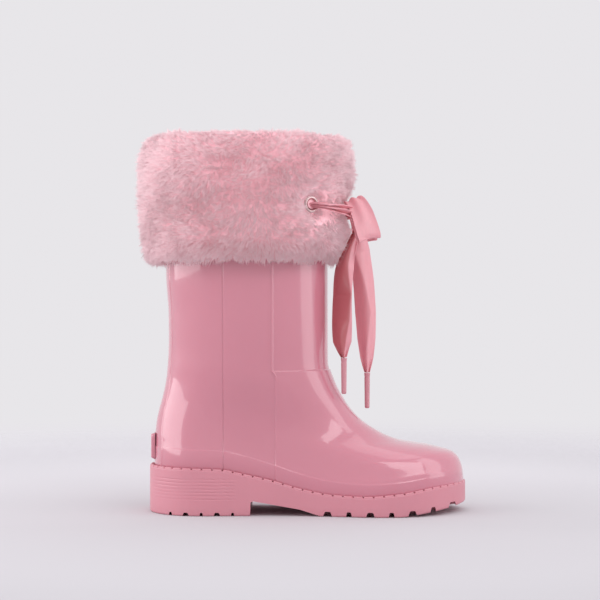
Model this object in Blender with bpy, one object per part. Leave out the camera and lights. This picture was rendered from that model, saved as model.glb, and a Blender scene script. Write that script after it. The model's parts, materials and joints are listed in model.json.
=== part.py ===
"""Child's right rain boot: moulded PVC foot and shaft on a lugged sole, with a faux-fur cuff and a ribbon bow.

Blender 4.5 script. Every size below is in millimetres and is turned into metres where a mesh is made.
+X points to the toe, +Z up, -Y to the outer (lateral) side. The origin is on the ground, under the middle.
"""

import math

import bmesh
import bpy
import numpy as np
from mathutils import Vector

MM = 0.001
UP = Vector((0, 0, 1))

# Foot and shaft, as seen from the side: x of the front and back lines at each height z.
FRONT_LINE = ((18.3, 101), (25, 100.2), (31.5, 98.1), (35.8, 93.8), (39.6, 81), (43.4, 60), (50.6, 44.4),
              (58, 34.6), (69, 26.4), (80, 20.8), (92, 17.4), (104, 17.3), (212, 17.3))
BACK_LINE = ((12, -89.2), (45, -89.2), (54, -88.4), (62, -86.8), (70, -84.6), (84, -82), (104, -80.8),
             (120, -80.9), (143, -82.4), (160, -82.7), (212, -82.7))
# Height z of the line where the foot meets the sole, at each x.
RIM_LINE = ((-93, 28.4), (-66, 28), (-47, 27.3), (-35, 24.9), (-16, 20.6), (0, 16), (19, 12.6), (38, 11.8),
            (60, 13.4), (80, 16.6), (103, 18.4))
SHAFT_TOP = 212
ANKLE = 96
SHAFT_HALF_WIDTH = ((20, 31), (60, 32.5), (92, 34.5), (140, 38), (160, 38.5), (212, 38.5))
SHELL_WALL = 2.2
LINING_WALL = 1.2
GAP = 0.4
LINING_GAP = 2.2 * GAP
MOST_CORNER = 1.7

# Sole in plan: half width about a centre line that bends inwards at the toe.
SOLE_BACK, SOLE_FRONT = -92.5, 102.4
SOLE_HALF_WIDTH = ((-93, 29.5), (-62, 30.5), (-30, 28.5), (0, 29.5), (25, 34), (48, 38.5), (70, 38.5),
                   (103, 37))
SOLE_CENTRE = ((-93, 0), (-20, -2.5), (30, -1.5), (60, 0), (103, 5))
HEEL_ROUND, TOE_ROUND = 29, 45
WELT_LEDGE = 3
SOLE_RECESS = 1.6
SOLE_BEVEL = 0.8
SOLE_SIDES = 26
INSOLE_SIDES = 16
TOE_SPRING, SPRING_START, SPRING_POWER = 5.8, 60, 1.15
ARCH_GAP = ((-30.2, -2), (-29.6, 8.6), (-16, 6.8), (0, 4), (12, 0), (12, -2))
FORE_LUGS = 7
FORE_LUG_START, FORE_LUG_PITCH = 16.5, 12.7
FORE_NOTCH_WIDTHS = (5.3, 3.6)
FORE_NOTCH_DEPTH = 3
HEEL_LUGS = 5
HEEL_LUG_START, HEEL_LUG_PITCH = -78.0, 9.4
HEEL_NOTCH_WIDTHS = (2.0, 3.9)
HEEL_NOTCH_DEPTH = 2.1
NOTCH_REACH = 12

# Blank tab at the back of the heel.
BADGE_HEIGHTS, BADGE_WIDTH, BADGE_BULGE = (32, 48), 17, 0.9
BADGE_GAP, BADGE_PROUD = 0.5, 2.8

# Insole: it lies on the lining's floor and stays clear of the walls.
FOAM_THICK, COVER_THICK = 3.0, 1.0
INSOLE_CLEAR = 3.4
INSOLE_LIFT = 0.9

# Cuff: rings round the shaft. Each is an ellipse whose distance from the shaft's outside is r.
SHAFT_X, SHAFT_A, SHAFT_B = -32.7, 50.0, 38.5
CUFF_BACK_OUT = ((150, 6), (152, 11), (156, 15), (164, 17.5), (180, 18.6), (205, 19.7), (216, 19.4),
                 (224, 17), (229, 13), (231.5, 6))
CUFF_FRONT_OUT = ((150, 3), (154, 3.5), (158, 5.5), (164, 9), (172, 14), (196, 17.5), (208, 18.5),
                  (216, 18.5), (224, 16.5), (229, 12), (231.5, 6))
CUFF_LEVELS = (150.5, 153, 157, 163, 170, 176, 181, 186, 191, 196, 202, 210, 218, 224, 228.5, 231)
CUFF_INNER_OUT, CUFF_INNER_BOTTOM = -12, 204
CUFF_CAVITY = (-7.9, 5.9)
CUFF_CAVITY_TOP = 226.6
CUFF_SEGMENTS = 40
RIBBON_DENT, DENT_HEIGHT, DENT_SPREAD, DENT_PAST = 6.5, 185, 9.5, 22
BACKING_WALL = 0.9
BACKING_OUT, BACKING_IN = 5.5, -6.6
BACKING_TOP, BACKING_BOTTOM = 226.0, 157.0
BINDING_LEGS = (-6.0, 1.3)
BINDING_WALL, BINDING_BOTTOM, BINDING_TOP = 0.6, 203, 213.4

# Eyelets and ribbon.
EYELET_ANGLE, EYELET_Z = 46, 187
EYELET_BORE, EYELET_BARREL, EYELET_FLANGE = 2.9, 3.5, 5.4
EYELET_SEAT = 6.1
EYELET_HOLE = 6.0
WASHER_OUTER, WASHER_THICK = 5.0, 0.6
RIBBON_WIDTH, RIBBON_THICK = 14.5, 0.8
KNOT_AT = (36.5, 0.0, 181.0)
KNOT_SIZE = (4.2, 5.0, 5.0)
RUN_DISTANCES = (9.5, 14.6, 14.9, 15.2, 15.6, 16.0, 16.4, 16.8, 17.2)
TAIL_NEAR_ROUTE = ((36.5, -5.5, 173.5), (34.5, -9.5, 160), (30.0, -13, 141), (27.0, -14.5, 120),
                   (26.6, -14, 104), (26.8, -13.5, 94.5))
TAIL_NEAR_WIDTHS = (5, 11, 14.5, 14.5, 10, 3.4)
TAIL_NEAR_TURNS = (40, 25, 15, 5, 0, 0)
TAIL_FAR_ROUTE = ((38.5, 4.5, 173.5), (41.5, 6.5, 160), (43.5, 8, 140), (42.5, 8, 118), (42.0, 8, 98),
                  (41.8, 8, 84.5))
TAIL_FAR_WIDTHS = (5, 12, 14.5, 14.5, 12, 3.4)
TAIL_FAR_TURNS = (-30, -20, 0, 25, 10, 0)
AGLET_RADIUS, AGLET_LENGTH = 1.9, 22
# One bow loop: points of its closed outline, out from the knot and up from it, and the ribbon's width at each.
LOOP_OUTLINE = ((5.8, 1.5), (6.4, 6.5), (9.8, 9.8), (15, 7.5), (19.5, 0.5), (23, -8), (25.4, -14.5),
                (24.6, -17.2), (21.5, -15), (17.5, -8), (12.5, -2.5), (8.5, -1.4), (5.8, -1.2))
LOOP_WIDTHS = (4, 7, 10, 12, 13.5, 14.3, 14.4, 14.4, 14.3, 13.5, 11, 7, 4)
LOOP_STEPS = 26
LOOP_FORWARD, LOOP_TILT = 20, 22

PINK_SHELL = (0.62, 0.25, 0.31)
PINK_SOLE = (0.66, 0.27, 0.34)
PINK_FUR = (0.72, 0.36, 0.41)
PINK_SATIN = (0.74, 0.33, 0.38)
PINK_TEXTILE = (0.66, 0.36, 0.40)
STEEL = (0.75, 0.74, 0.74)
CREAM_FOAM = (0.85, 0.82, 0.78)


class Profile:
    """A smooth line through a few points that never overshoots them (monotone cubic)."""

    def __init__(self, points):
        self.at, self.value = (np.array(column, float) for column in zip(*points))
        step = np.diff(self.at)
        slope = np.diff(self.value) / step
        inner = np.zeros(len(slope) - 1)
        same = slope[1:] * slope[:-1] > 0
        near, far = 2 * step[1:] + step[:-1], step[1:] + 2 * step[:-1]
        inner[same] = (near + far)[same] / (near / np.where(same, slope[:-1], 1)
                                            + far / np.where(same, slope[1:], 1))[same]
        self.slope = np.concatenate(([slope[0]], inner, [slope[-1]]))

    def __call__(self, x):
        x = min(max(x, self.at[0]), self.at[-1])
        i = min(int(np.searchsorted(self.at, x, side="right")) - 1, len(self.at) - 2)
        step = self.at[i + 1] - self.at[i]
        t = (x - self.at[i]) / step
        rise = (self.value[i] * (1 + 2 * t) + self.slope[i] * step * t) * (1 - t) ** 2
        fall = (self.value[i + 1] * (3 - 2 * t) - self.slope[i + 1] * step * (1 - t)) * t ** 2
        return float(rise + fall)


front_x, back_x, rim_z = Profile(FRONT_LINE), Profile(BACK_LINE), Profile(RIM_LINE)
shaft_half_width = Profile(SHAFT_HALF_WIDTH)
sole_half_width, sole_centre = Profile(SOLE_HALF_WIDTH), Profile(SOLE_CENTRE)
cuff_back, cuff_front = Profile(CUFF_BACK_OUT), Profile(CUFF_FRONT_OUT)


def smooth(t):
    t = min(max(t, 0.0), 1.0)
    return t * t * (3 - 2 * t)


def rounding(distance, length):
    """A quarter ellipse: 0 at the end of the shape, 1 at `length` from it."""
    if distance >= length:
        return 1.0
    return math.sqrt(max(0.0, 1 - ((length - distance) / length) ** 2))


# ---------------------------------------------------------------- meshes


def clear_scene():
    for obj in list(bpy.data.objects):
        bpy.data.objects.remove(obj)


def material(name, colour, roughness, metallic=0.0):
    made = bpy.data.materials.new(name)
    made.use_nodes = True
    shader = made.node_tree.nodes["Principled BSDF"]
    shader.inputs["Base Color"].default_value = (*colour, 1)
    shader.inputs["Roughness"].default_value = roughness
    shader.inputs["Metallic"].default_value = metallic
    return made


def add_object(name, points, faces, finish, origin=(0, 0, 0)):
    """A closed body from points in millimetres. Its origin is put on `origin`."""
    start = Vector(origin)
    mesh = bpy.data.meshes.new(name)
    mesh.from_pydata([(Vector(p) - start) * MM for p in points], [], faces)
    work = bmesh.new()
    work.from_mesh(mesh)
    bmesh.ops.remove_doubles(work, verts=work.verts, dist=0.002 * MM)
    bmesh.ops.recalc_face_normals(work, faces=work.faces)
    if work.calc_volume(signed=True) < 0:
        bmesh.ops.reverse_faces(work, faces=work.faces)
    bmesh.ops.triangulate(work, faces=[f for f in work.faces if len(f.verts) > 4])
    work.to_mesh(mesh)
    work.free()
    mesh.shade_smooth()
    mesh.set_sharp_from_angle(angle=math.radians(40))
    obj = bpy.data.objects.new(name, mesh)
    obj.location = start * MM
    obj.data.materials.append(finish)
    bpy.context.scene.collection.objects.link(obj)
    return obj


def bridged(rings, closed=False):
    """Points and quads between rings of equal length; closed joins the last ring to the first."""
    count = len(rings[0])
    points = [p for ring in rings for p in ring]
    faces = []
    for r in range(len(rings) - (0 if closed else 1)):
        low, high = r * count, (r + 1) % len(rings) * count
        for i in range(count):
            j = (i + 1) % count
            faces.append((low + i, low + j, high + j, high + i))
    return points, faces


def strip_cap(start, count, flip):
    """Quads across a ring whose point i lies opposite point count - i."""
    faces = []
    for i in range(count // 2):
        quad = [start + i, start + i + 1, start + (count - i - 1) % count, start + (count - i) % count]
        quad = list(dict.fromkeys(quad))
        faces.append(tuple(reversed(quad)) if flip else tuple(quad))
    return faces


def lofted(rings):
    """A solid between the first and last ring, both closed by strips across."""
    points, faces = bridged(rings)
    count = len(rings[0])
    return points, faces + strip_cap(0, count, False) + strip_cap(len(points) - count, count, True)


def swept(centres, wide, flat, half_widths, half_thick):
    """A flat strip along a route: one four-cornered ring at each centre."""
    rings = []
    for centre, across, out, half in zip(centres, wide, flat, half_widths):
        a, b = across * half, out * half_thick
        rings.append([centre - a - b, centre + a - b, centre + a + b, centre - a + b])
    points, faces = bridged(rings)
    last = len(points) - 4
    return points, faces + [(3, 2, 1, 0), (last, last + 1, last + 2, last + 3)]


def turned(profile, segments, base, axis):
    """A closed (radius, height) outline turned about an axis through `base`."""
    axis = Vector(axis).normalized()
    side = axis.orthogonal().normalized()
    other = axis.cross(side)
    rings = []
    for step in range(segments):
        angle = 2 * math.pi * step / segments
        arm = side * math.cos(angle) + other * math.sin(angle)
        rings.append([Vector(base) + arm * radius + axis * height for radius, height in profile])
    return bridged(rings, closed=True)


def cut(obj, cutter):
    cutter.hide_render = True
    cutter.display_type = "WIRE"
    knife = obj.modifiers.new("cut", "BOOLEAN")
    knife.operation = "DIFFERENCE"
    knife.solver = "EXACT"
    knife.object = cutter


# ---------------------------------------------------------------- foot and shaft


def upper_half_width(x, z):
    """Half width of the boot at a place in its side view, and the y of its centre there."""
    height = z - rim_z(x)
    to_back, to_front = x - back_x(z), front_x(z) - x
    toe_length = TOE_ROUND - 1 + 1.5 * max(0.0, z - 25)
    taper = 1 + 0.03 * math.sin(math.pi * min(1, max(0, height) / 16)) - 0.12 * smooth((height - 8) / 34)
    foot = taper * (sole_half_width(x) - WELT_LEDGE)
    foot *= rounding(to_back, HEEL_ROUND - 2) * rounding(to_front, toe_length)
    along = to_back / max(to_back + to_front, 1e-6)
    shaft = shaft_half_width(z) * 2 * math.sqrt(max(0.0, along * (1 - along)))
    share = smooth(height / 62)
    return foot * (1 - share) + shaft * share, sole_centre(x) * (1 - smooth(height / 45))


def upper_ring(sides, height_at, back, front):
    """One ring of the boot, from the back round the lateral side to the front and home again."""
    lateral, medial = [], []
    for i in range(sides + 1):
        x = back + (front - back) * (1 - math.cos(math.pi * i / sides)) / 2
        z = height_at(x)
        half, centre = upper_half_width(x, z)
        lateral.append(Vector((x, centre - half, z)))
        medial.append(Vector((x, centre + half, z)))
    return lateral + medial[-2:0:-1]


def foot_line(share):
    """A point of the front line from the ankle (0) to the toe (1), evenly along the line."""
    heights = np.linspace(ANKLE, FRONT_LINE[0][0], 200)
    fronts = np.array([front_x(z) for z in heights])
    lengths = np.concatenate(([0], np.cumsum(np.hypot(np.diff(heights), np.diff(fronts)))))
    z = float(np.interp(share * lengths[-1], lengths, heights))
    return front_x(z), z


def upper_rings(sides, shaft_count, foot_count, top=SHAFT_TOP):
    rings = []
    for k in range(shaft_count):
        z = top + (ANKLE - top) * k / shaft_count
        rings.append(upper_ring(sides, lambda x, z=z: z, back_x(z), front_x(z)))
    for k in range(foot_count + 1):
        front, z_front = foot_line(k / foot_count)
        rise_front = z_front - rim_z(front)
        rise_back = (ANKLE - rim_z(-89)) * (1 - k / foot_count)
        back = back_x(rim_z(-89) + rise_back)

        def height_at(x, back=back, front=front, low=rise_back, high=rise_front):
            return rim_z(x) + low + (high - low) * smooth((x - back) / (front - back))

        rings.append(upper_ring(sides, height_at, back, front))
    return rings


def moved_in(points, faces, distance):
    """The same surface moved inwards by an even distance."""
    work = bmesh.new()
    for p in points:
        work.verts.new(p)
    work.verts.ensure_lookup_table()
    for face in faces:
        work.faces.new([work.verts[i] for i in face])
    bmesh.ops.recalc_face_normals(work, faces=work.faces)
    work.normal_update()
    sample = work.verts[len(work.verts) // 2]
    toward = 1 if sample.normal.dot(Vector((SHAFT_X, 0, 0)) - sample.co) > 0 else -1
    placed = [v.co + v.normal * toward * distance * min(v.calc_shell_factor(), MOST_CORNER) for v in work.verts]
    work.free()
    return placed


def sock(name, rings, outside, wall, finish):
    """A sock-shaped wall, open at the top: its outside is `outside` within the rings' surface."""
    points, faces = bridged(rings)
    count = len(rings[0])
    faces += strip_cap(len(points) - count, count, True)
    outer = moved_in(points, faces, outside)
    inner = moved_in(points, faces, outside + wall)
    total = len(points)
    inside = [tuple(total + i for i in reversed(face)) for face in faces]
    rim = [(i, total + i, total + (i + 1) % count, (i + 1) % count) for i in range(count)]
    return add_object(name, outer + inner, faces + inside + rim, finish)


# ---------------------------------------------------------------- sole and insole


def plan_half_width(x, inset):
    ends = rounding(x - SOLE_BACK - inset, HEEL_ROUND - inset) * rounding(SOLE_FRONT - inset - x, TOE_ROUND)
    return (sole_half_width(x) - inset) * ends


def plan_ring(sides, height_at, inset):
    back, front = SOLE_BACK + inset, SOLE_FRONT - inset
    lateral, medial = [], []
    for i in range(sides + 1):
        x = back + (front - back) * (1 - math.cos(math.pi * i / sides)) / 2
        half, centre, z = plan_half_width(x, inset), sole_centre(x), height_at(x)
        lateral.append(Vector((x, centre - half, z)))
        medial.append(Vector((x, centre + half, z)))
    return lateral + medial[-2:0:-1]


def sole_bottom(x):
    return TOE_SPRING * (max(0.0, x - SPRING_START) / (SOLE_FRONT - SPRING_START)) ** SPRING_POWER


def notch(x, top_width, depth, side):
    """A tapering side notch between two lugs, as a prism that reaches in from one side."""
    low = sole_bottom(x) - 1
    edge = sole_centre(x) + side * plan_half_width(x, 0)
    y_in, y_out = edge - side * min(NOTCH_REACH, plan_half_width(x, 0) - 3), edge + side * 12
    half_low, half_high = top_width * 0.62, top_width * 0.36
    top = low + 1 + depth
    outline = ((x - half_low, low), (x + half_low, low), (x + half_high, top), (x - half_high, top))
    near = [Vector((px, y_in, pz)) for px, pz in outline]
    far = [Vector((px, y_out, pz)) for px, pz in outline]
    points, faces = bridged([near, far])
    return points, faces + [(0, 1, 2, 3), (7, 6, 5, 4)]


def sole_cutter(finish):
    """The space under the arch and every notch between lugs, in one object."""
    near = [Vector((x, -60, z)) for x, z in ARCH_GAP]
    far = [Vector((x, 60, z)) for x, z in ARCH_GAP]
    points, faces = bridged([near, far])
    n = len(ARCH_GAP)
    faces += [tuple(range(n)), tuple(range(2 * n - 1, n - 1, -1))]
    places = [(FORE_LUG_START + FORE_LUG_PITCH * i, FORE_NOTCH_WIDTHS[i % 2], FORE_NOTCH_DEPTH)
              for i in range(FORE_LUGS)]
    places += [(HEEL_LUG_START + HEEL_LUG_PITCH * i, HEEL_NOTCH_WIDTHS[i % 2], HEEL_NOTCH_DEPTH)
               for i in range(HEEL_LUGS)]
    for x, width, depth in places:
        for side in (-1, 1):
            more_points, more_faces = notch(x, width, depth, side)
            faces += [tuple(len(points) + i for i in face) for face in more_faces]
            points += more_points
    return add_object("sole_cutter", points, faces, finish)


def build_sole(finish):
    sides = SOLE_SIDES
    rings = [
        plan_ring(sides, sole_bottom, SOLE_BEVEL),
        plan_ring(sides, lambda x: sole_bottom(x) + 1.5 * SOLE_BEVEL, 0),
        plan_ring(sides, lambda x: rim_z(x) - GAP - SOLE_BEVEL, 0),
        plan_ring(sides, lambda x: rim_z(x) - GAP, SOLE_BEVEL),
        plan_ring(sides, lambda x: rim_z(x) - SOLE_RECESS, WELT_LEDGE + 1.5),
    ]
    sole = add_object("outsole", *lofted(rings), finish)
    cut(sole, sole_cutter(finish))


def build_insole(foam, cover):
    wall = SHELL_WALL + LINING_GAP + LINING_WALL
    inset = WELT_LEDGE + wall + INSOLE_CLEAR
    for name, low, thick, finish in (("insole_foam", INSOLE_LIFT, FOAM_THICK, foam),
                                     ("insole_cover", INSOLE_LIFT + GAP + FOAM_THICK, COVER_THICK, cover)):
        rings = [plan_ring(INSOLE_SIDES, lambda x, h=h: rim_z(x) + wall + h, inset) for h in (low, low + thick)]
        add_object(name, *lofted(rings), finish)


def build_badge(finish):
    """A blank raised tab that follows the curve at the back of the heel."""
    rings = []
    low, high = BADGE_HEIGHTS
    for offset, heights in ((BADGE_GAP, (low, high)), (BADGE_PROUD, (high - 1, low + 1))):
        for z in heights:
            ring = []
            for i in range(7):
                x = BACK_LINE[0][1] + BADGE_BULGE * (abs(i - 3) / 3) ** 2
                y = (i - 3) / 3 * BADGE_WIDTH / 2
                out = Vector((x - BACK_LINE[0][1] - HEEL_ROUND, y, 0)).normalized()
                ring.append(Vector((x, y, z)) + out * offset)
            rings.append(ring)
    points = [p for ring in rings for p in ring]
    faces = []
    for r in range(4):
        low, high = r * 7, (r + 1) % 4 * 7
        faces += [(low + i, low + i + 1, high + i + 1, high + i) for i in range(6)]
    faces += [(0, 7, 14, 21), (27, 20, 13, 6)]
    add_object("heel_badge", points, faces, finish)


# ---------------------------------------------------------------- cuff


def shaft_point(angle, distance, z):
    return Vector((SHAFT_X + (SHAFT_A + distance) * math.cos(angle), (SHAFT_B + distance) * math.sin(angle), z))


def shaft_out(angle):
    return Vector((math.cos(angle) / SHAFT_A, math.sin(angle) / SHAFT_B, 0)).normalized()


def shaft_ring(distance, z):
    """A ring round the shaft; distance is a number, or a function of the angle from the front."""
    at = distance if callable(distance) else lambda angle: distance
    angles = [2 * math.pi * i / CUFF_SEGMENTS for i in range(CUFF_SEGMENTS)]
    return [shaft_point(a, at(a), z) for a in angles]


def dent(angle, z):
    """How far the tied ribbon presses the fur in, between the eyelets."""
    from_front = abs(math.degrees(math.atan2(math.sin(angle), math.cos(angle))))
    across = smooth((EYELET_ANGLE + DENT_PAST - from_front) / (DENT_PAST + 2))
    return RIBBON_DENT * across * math.exp(-((z - DENT_HEIGHT) / DENT_SPREAD) ** 2)


def cuff_outside(angle, z):
    ahead = (1 + math.cos(angle)) / 2
    return cuff_back(z) + (cuff_front(z) - cuff_back(z)) * ahead ** 3 - dent(angle, z)


def build_cuff(fur, knit, tape):
    low_in, low_out = CUFF_CAVITY
    rings = [shaft_ring(lambda a, z=z: cuff_outside(a, z), z) for z in CUFF_LEVELS]
    rings += [shaft_ring(r, z) for r, z in (
        (-3, 230.5), (-7, 228), (CUFF_INNER_OUT + 0.8, 223), (CUFF_INNER_OUT, 214),
        (CUFF_INNER_OUT + 0.5, 206), (-10, CUFF_INNER_BOTTOM), (low_in, CUFF_INNER_BOTTOM + 1),
        (low_in, 216), (low_in, CUFF_CAVITY_TOP), (low_out, CUFF_CAVITY_TOP), (low_out, 205), (low_out, 182),
        (low_out, 166), (low_out, 157), (2.4, 151.5))]
    body = add_object("cuff_fur", *bridged(rings, closed=True), fur)
    for side in (-1, 1):
        angle = side * math.radians(EYELET_ANGLE)
        out = shaft_out(angle)
        centre = shaft_point(angle, CUFF_CAVITY[1], EYELET_Z)
        points, faces = rod(centre - out * 3, centre + out * 24, EYELET_HOLE, 20)
        cut(body, add_object("eyelet_cutter", points, faces, fur))
    wall = BACKING_WALL
    backing = add_object("cuff_backing", *bridged([shaft_ring(r, z) for r, z in (
        (BACKING_OUT, BACKING_BOTTOM), (BACKING_OUT, 185), (BACKING_OUT, BACKING_TOP),
        (BACKING_IN - wall, BACKING_TOP), (BACKING_IN - wall, 206), (BACKING_IN, 206),
        (BACKING_IN, BACKING_TOP - wall), (BACKING_OUT - wall, BACKING_TOP - wall),
        (BACKING_OUT - wall, 185), (BACKING_OUT - wall, BACKING_BOTTOM))], closed=True), knit)
    for side in (-1, 1):
        angle = side * math.radians(EYELET_ANGLE)
        centre, out = shaft_point(angle, BACKING_OUT, EYELET_Z), shaft_out(angle)
        points, faces = rod(centre - out * 4, centre + out * 4, EYELET_BARREL + 0.4, 20)
        cut(backing, add_object("backing_cutter", points, faces, knit))
    inner, outer = BINDING_LEGS
    thick = BINDING_WALL
    add_object("shaft_binding", *bridged([shaft_ring(r, z) for r, z in (
        (outer, BINDING_BOTTOM), (outer, BINDING_TOP), (inner, BINDING_TOP), (inner, BINDING_BOTTOM),
        (inner + thick, BINDING_BOTTOM), (inner + thick, BINDING_TOP - thick),
        (outer - thick, BINDING_TOP - thick), (outer - thick, BINDING_BOTTOM))], closed=True), tape)


def rod(start, end, radius, segments):
    """A plain cylinder between two points."""
    axis = (Vector(end) - Vector(start)).normalized()
    side = axis.orthogonal().normalized()
    other = axis.cross(side)
    arms = [side * math.cos(2 * math.pi * i / segments) + other * math.sin(2 * math.pi * i / segments)
            for i in range(segments)]
    rings = [[Vector(place) + arm * radius for arm in arms] for place in (start, end)]
    points, faces = bridged(rings)
    return points, faces + [tuple(range(segments)), tuple(range(2 * segments - 1, segments - 1, -1))]


def build_eyelet(name, side, metal):
    """Flanged barrel through the cuff's backing, and the washer that it is rolled over inside."""
    angle = side * math.radians(EYELET_ANGLE)
    base, out = shaft_point(angle, EYELET_SEAT, EYELET_Z), shaft_out(angle)
    profile = ((EYELET_BORE, -2.2), (EYELET_BARREL, -2.2), (EYELET_BARREL, 0), (EYELET_FLANGE - 0.5, 0),
               (EYELET_FLANGE, 0.4), (EYELET_FLANGE - 0.6, 1.1), (EYELET_BARREL, 1.5), (EYELET_BORE, 1.1))
    add_object(f"eyelet_{name}", *turned(profile, 24, base, out), metal)
    bore = EYELET_BARREL + 0.3
    washer = ((bore, 0), (WASHER_OUTER, 0), (WASHER_OUTER, WASHER_THICK), (bore, WASHER_THICK))
    add_object(f"eyelet_washer_{name}", *turned(washer, 24, base - out * 2.6, out), metal)


# ---------------------------------------------------------------- ribbon


def smooth_route(points, steps):
    """Points along a Catmull-Rom curve, which goes through every given point."""
    given = [Vector(p) for p in points]
    given = [2 * given[0] - given[1]] + given + [2 * given[-1] - given[-2]]
    spans = len(given) - 3
    out = []
    for k in range(steps + 1):
        t = spans * k / steps
        i = min(int(t), spans - 1)
        u = t - i
        a, b, c, d = given[i:i + 4]
        bend, twist = 2 * a - 5 * b + 4 * c - d, 3 * b - a - 3 * c + d
        out.append(0.5 * (2 * b + (c - a) * u + bend * u ** 2 + twist * u ** 3))
    return out


def along(values, share):
    return float(np.interp(share * (len(values) - 1), range(len(values)), values))


def build_tail(name, route, widths, turns, satin, plastic):
    """A hanging end of the ribbon, with its aglet. Both turn about the place where the tail leaves the knot."""
    steps = 12
    places = smooth_route(route, steps)
    wide, flat = [], []
    for k, place in enumerate(places):
        ahead = (places[min(k + 1, steps)] - places[max(k - 1, 0)]).normalized()
        turn = math.radians(along(turns, k / steps))
        across = Vector((math.cos(turn), math.sin(turn), 0))
        across = (across - ahead * across.dot(ahead)).normalized()
        wide.append(across)
        flat.append(ahead.cross(across))
    halves = [along(widths, k / steps) / 2 for k in range(steps + 1)]
    add_object(f"ribbon_tail_{name}", *swept(places, wide, flat, halves, RIBBON_THICK / 2), satin, origin=route[0])
    end = Vector(route[-1])
    top = end - Vector((0, 0, GAP))
    points, faces = rod(top, top - Vector((0, 0, AGLET_LENGTH)), AGLET_RADIUS, 14)
    add_object(f"aglet_{name}", points, faces, plastic, origin=route[0])


def build_runs(satin):
    """The ribbon from each eyelet along the dented fur to the knot, and the hidden run inside the cuff."""
    steps = 8
    start, end = math.radians(EYELET_ANGLE), math.radians(9)
    for name, side in (("lateral", -1), ("medial", 1)):
        angles = [side * (start + (end - start) * k / steps) for k in range(steps + 1)]
        heights = [EYELET_Z + (KNOT_AT[2] + 2 - EYELET_Z) * k / steps for k in range(steps + 1)]
        places, wide, flat = [], [], []
        for k, (angle, z) in enumerate(zip(angles, heights)):
            away = along(RUN_DISTANCES, k / steps)
            places.append(shaft_point(angle, away, z))
            wide.append(Vector((0, 0, 1)))
            flat.append(shaft_out(angle))
        halves = [along((2.0, 3.5, 4.2, 4.2, 3.2), k / steps) for k in range(steps + 1)]
        inner = shaft_point(angles[0], 4.9, EYELET_Z)
        places.insert(0, inner)
        wide.insert(0, Vector((0, 0, 1)))
        flat.insert(0, Vector((flat[0].y, -flat[0].x, 0)) * -side)
        halves.insert(0, 2.0)
        add_object(f"ribbon_run_{name}", *swept(places, wide, flat, halves, RIBBON_THICK / 2), satin)
    angles = [math.radians(EYELET_ANGLE + 5) * (k / steps * 2 - 1) for k in range(steps + 1)]
    places = [shaft_point(a, 1.9, EYELET_Z) for a in angles]
    wide = [Vector((0, 0, 1))] * len(angles)
    flat = [shaft_out(a) for a in angles]
    halves = [RIBBON_WIDTH / 2] * len(angles)
    add_object("ribbon_inner_run", *swept(places, wide, flat, halves, RIBBON_THICK / 2), satin)


def build_bow(satin):
    centre = Vector(KNOT_AT)
    knot = bmesh.new()
    bmesh.ops.create_icosphere(knot, subdivisions=2, radius=1)
    knot.verts.ensure_lookup_table()
    points = [centre + Vector([c * s for c, s in zip(v.co, KNOT_SIZE)]) for v in knot.verts]
    faces = [tuple(v.index for v in f.verts) for f in knot.faces]
    knot.free()
    add_object("bow_knot", points, faces, satin)
    for name, side in (("lateral", -1), ("medial", 1)):
        forward, tilt = math.radians(LOOP_FORWARD), math.radians(LOOP_TILT)
        out = Vector((math.sin(forward), side * math.cos(forward), 0))
        across = Vector((math.cos(forward), -side * math.sin(forward), math.tan(tilt))).normalized()
        outline = smooth_route([(reach, rise, 0) for reach, rise in LOOP_OUTLINE], LOOP_STEPS)
        places = [centre + out * p.x + UP * p.y for p in outline]
        wide, flat = [], []
        for k in range(LOOP_STEPS + 1):
            ahead = (places[min(k + 1, LOOP_STEPS)] - places[max(k - 1, 0)]).normalized()
            wide.append((across - ahead * across.dot(ahead)).normalized())
            flat.append(ahead.cross(wide[-1]))
        halves = [along(LOOP_WIDTHS, k / LOOP_STEPS) / 2 for k in range(LOOP_STEPS + 1)]
        add_object(f"bow_loop_{name}", *swept(places, wide, flat, halves, RIBBON_THICK / 2), satin)


def main():
    clear_scene()
    pvc = material("glossy_pvc", PINK_SHELL, 0.12)
    sole = material("sole_pvc", PINK_SOLE, 0.4)
    fur = material("fur", PINK_FUR, 0.9)
    textile = material("lining_textile", PINK_TEXTILE, 0.9)
    tape = material("binding_tape", PINK_TEXTILE, 0.8)
    satin = material("satin_ribbon", PINK_SATIN, 0.35)
    plastic = material("aglet_plastic", PINK_SATIN, 0.3)
    metal = material("eyelet_steel", STEEL, 0.25, 1.0)
    foam = material("insole_foam", CREAM_FOAM, 0.9)
    build_sole(sole)
    rings = upper_rings(16, 6, 15)
    sock("upper_shell", rings, 0.0, SHELL_WALL, pvc)
    sock("sock_lining", rings, SHELL_WALL + LINING_GAP, LINING_WALL, textile)
    build_badge(pvc)
    build_insole(foam, textile)
    build_cuff(fur, textile, tape)
    build_eyelet("lateral", -1, metal)
    build_eyelet("medial", 1, metal)
    build_runs(satin)
    build_bow(satin)
    build_tail("near", TAIL_NEAR_ROUTE, TAIL_NEAR_WIDTHS, TAIL_NEAR_TURNS, satin, plastic)
    build_tail("far", TAIL_FAR_ROUTE, TAIL_FAR_WIDTHS, TAIL_FAR_TURNS, satin, plastic)


main()
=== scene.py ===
"""The looks of a child's glossy rain boot with a faux-fur cuff and a ribbon bow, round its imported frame.

Blender 4.5 script. Shapes are worked out in millimetres, in the frame's own axes, and are turned into metres
where a mesh is made: +X points to the toe, +Z up, -Y to the outer side. The origin is on the ground.
"""

from __future__ import annotations

import json
import logging
import math
from collections.abc import Callable, Sequence
from dataclasses import dataclass
from enum import Enum

import bpy
import numpy as np
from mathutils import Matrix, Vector, kdtree

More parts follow.
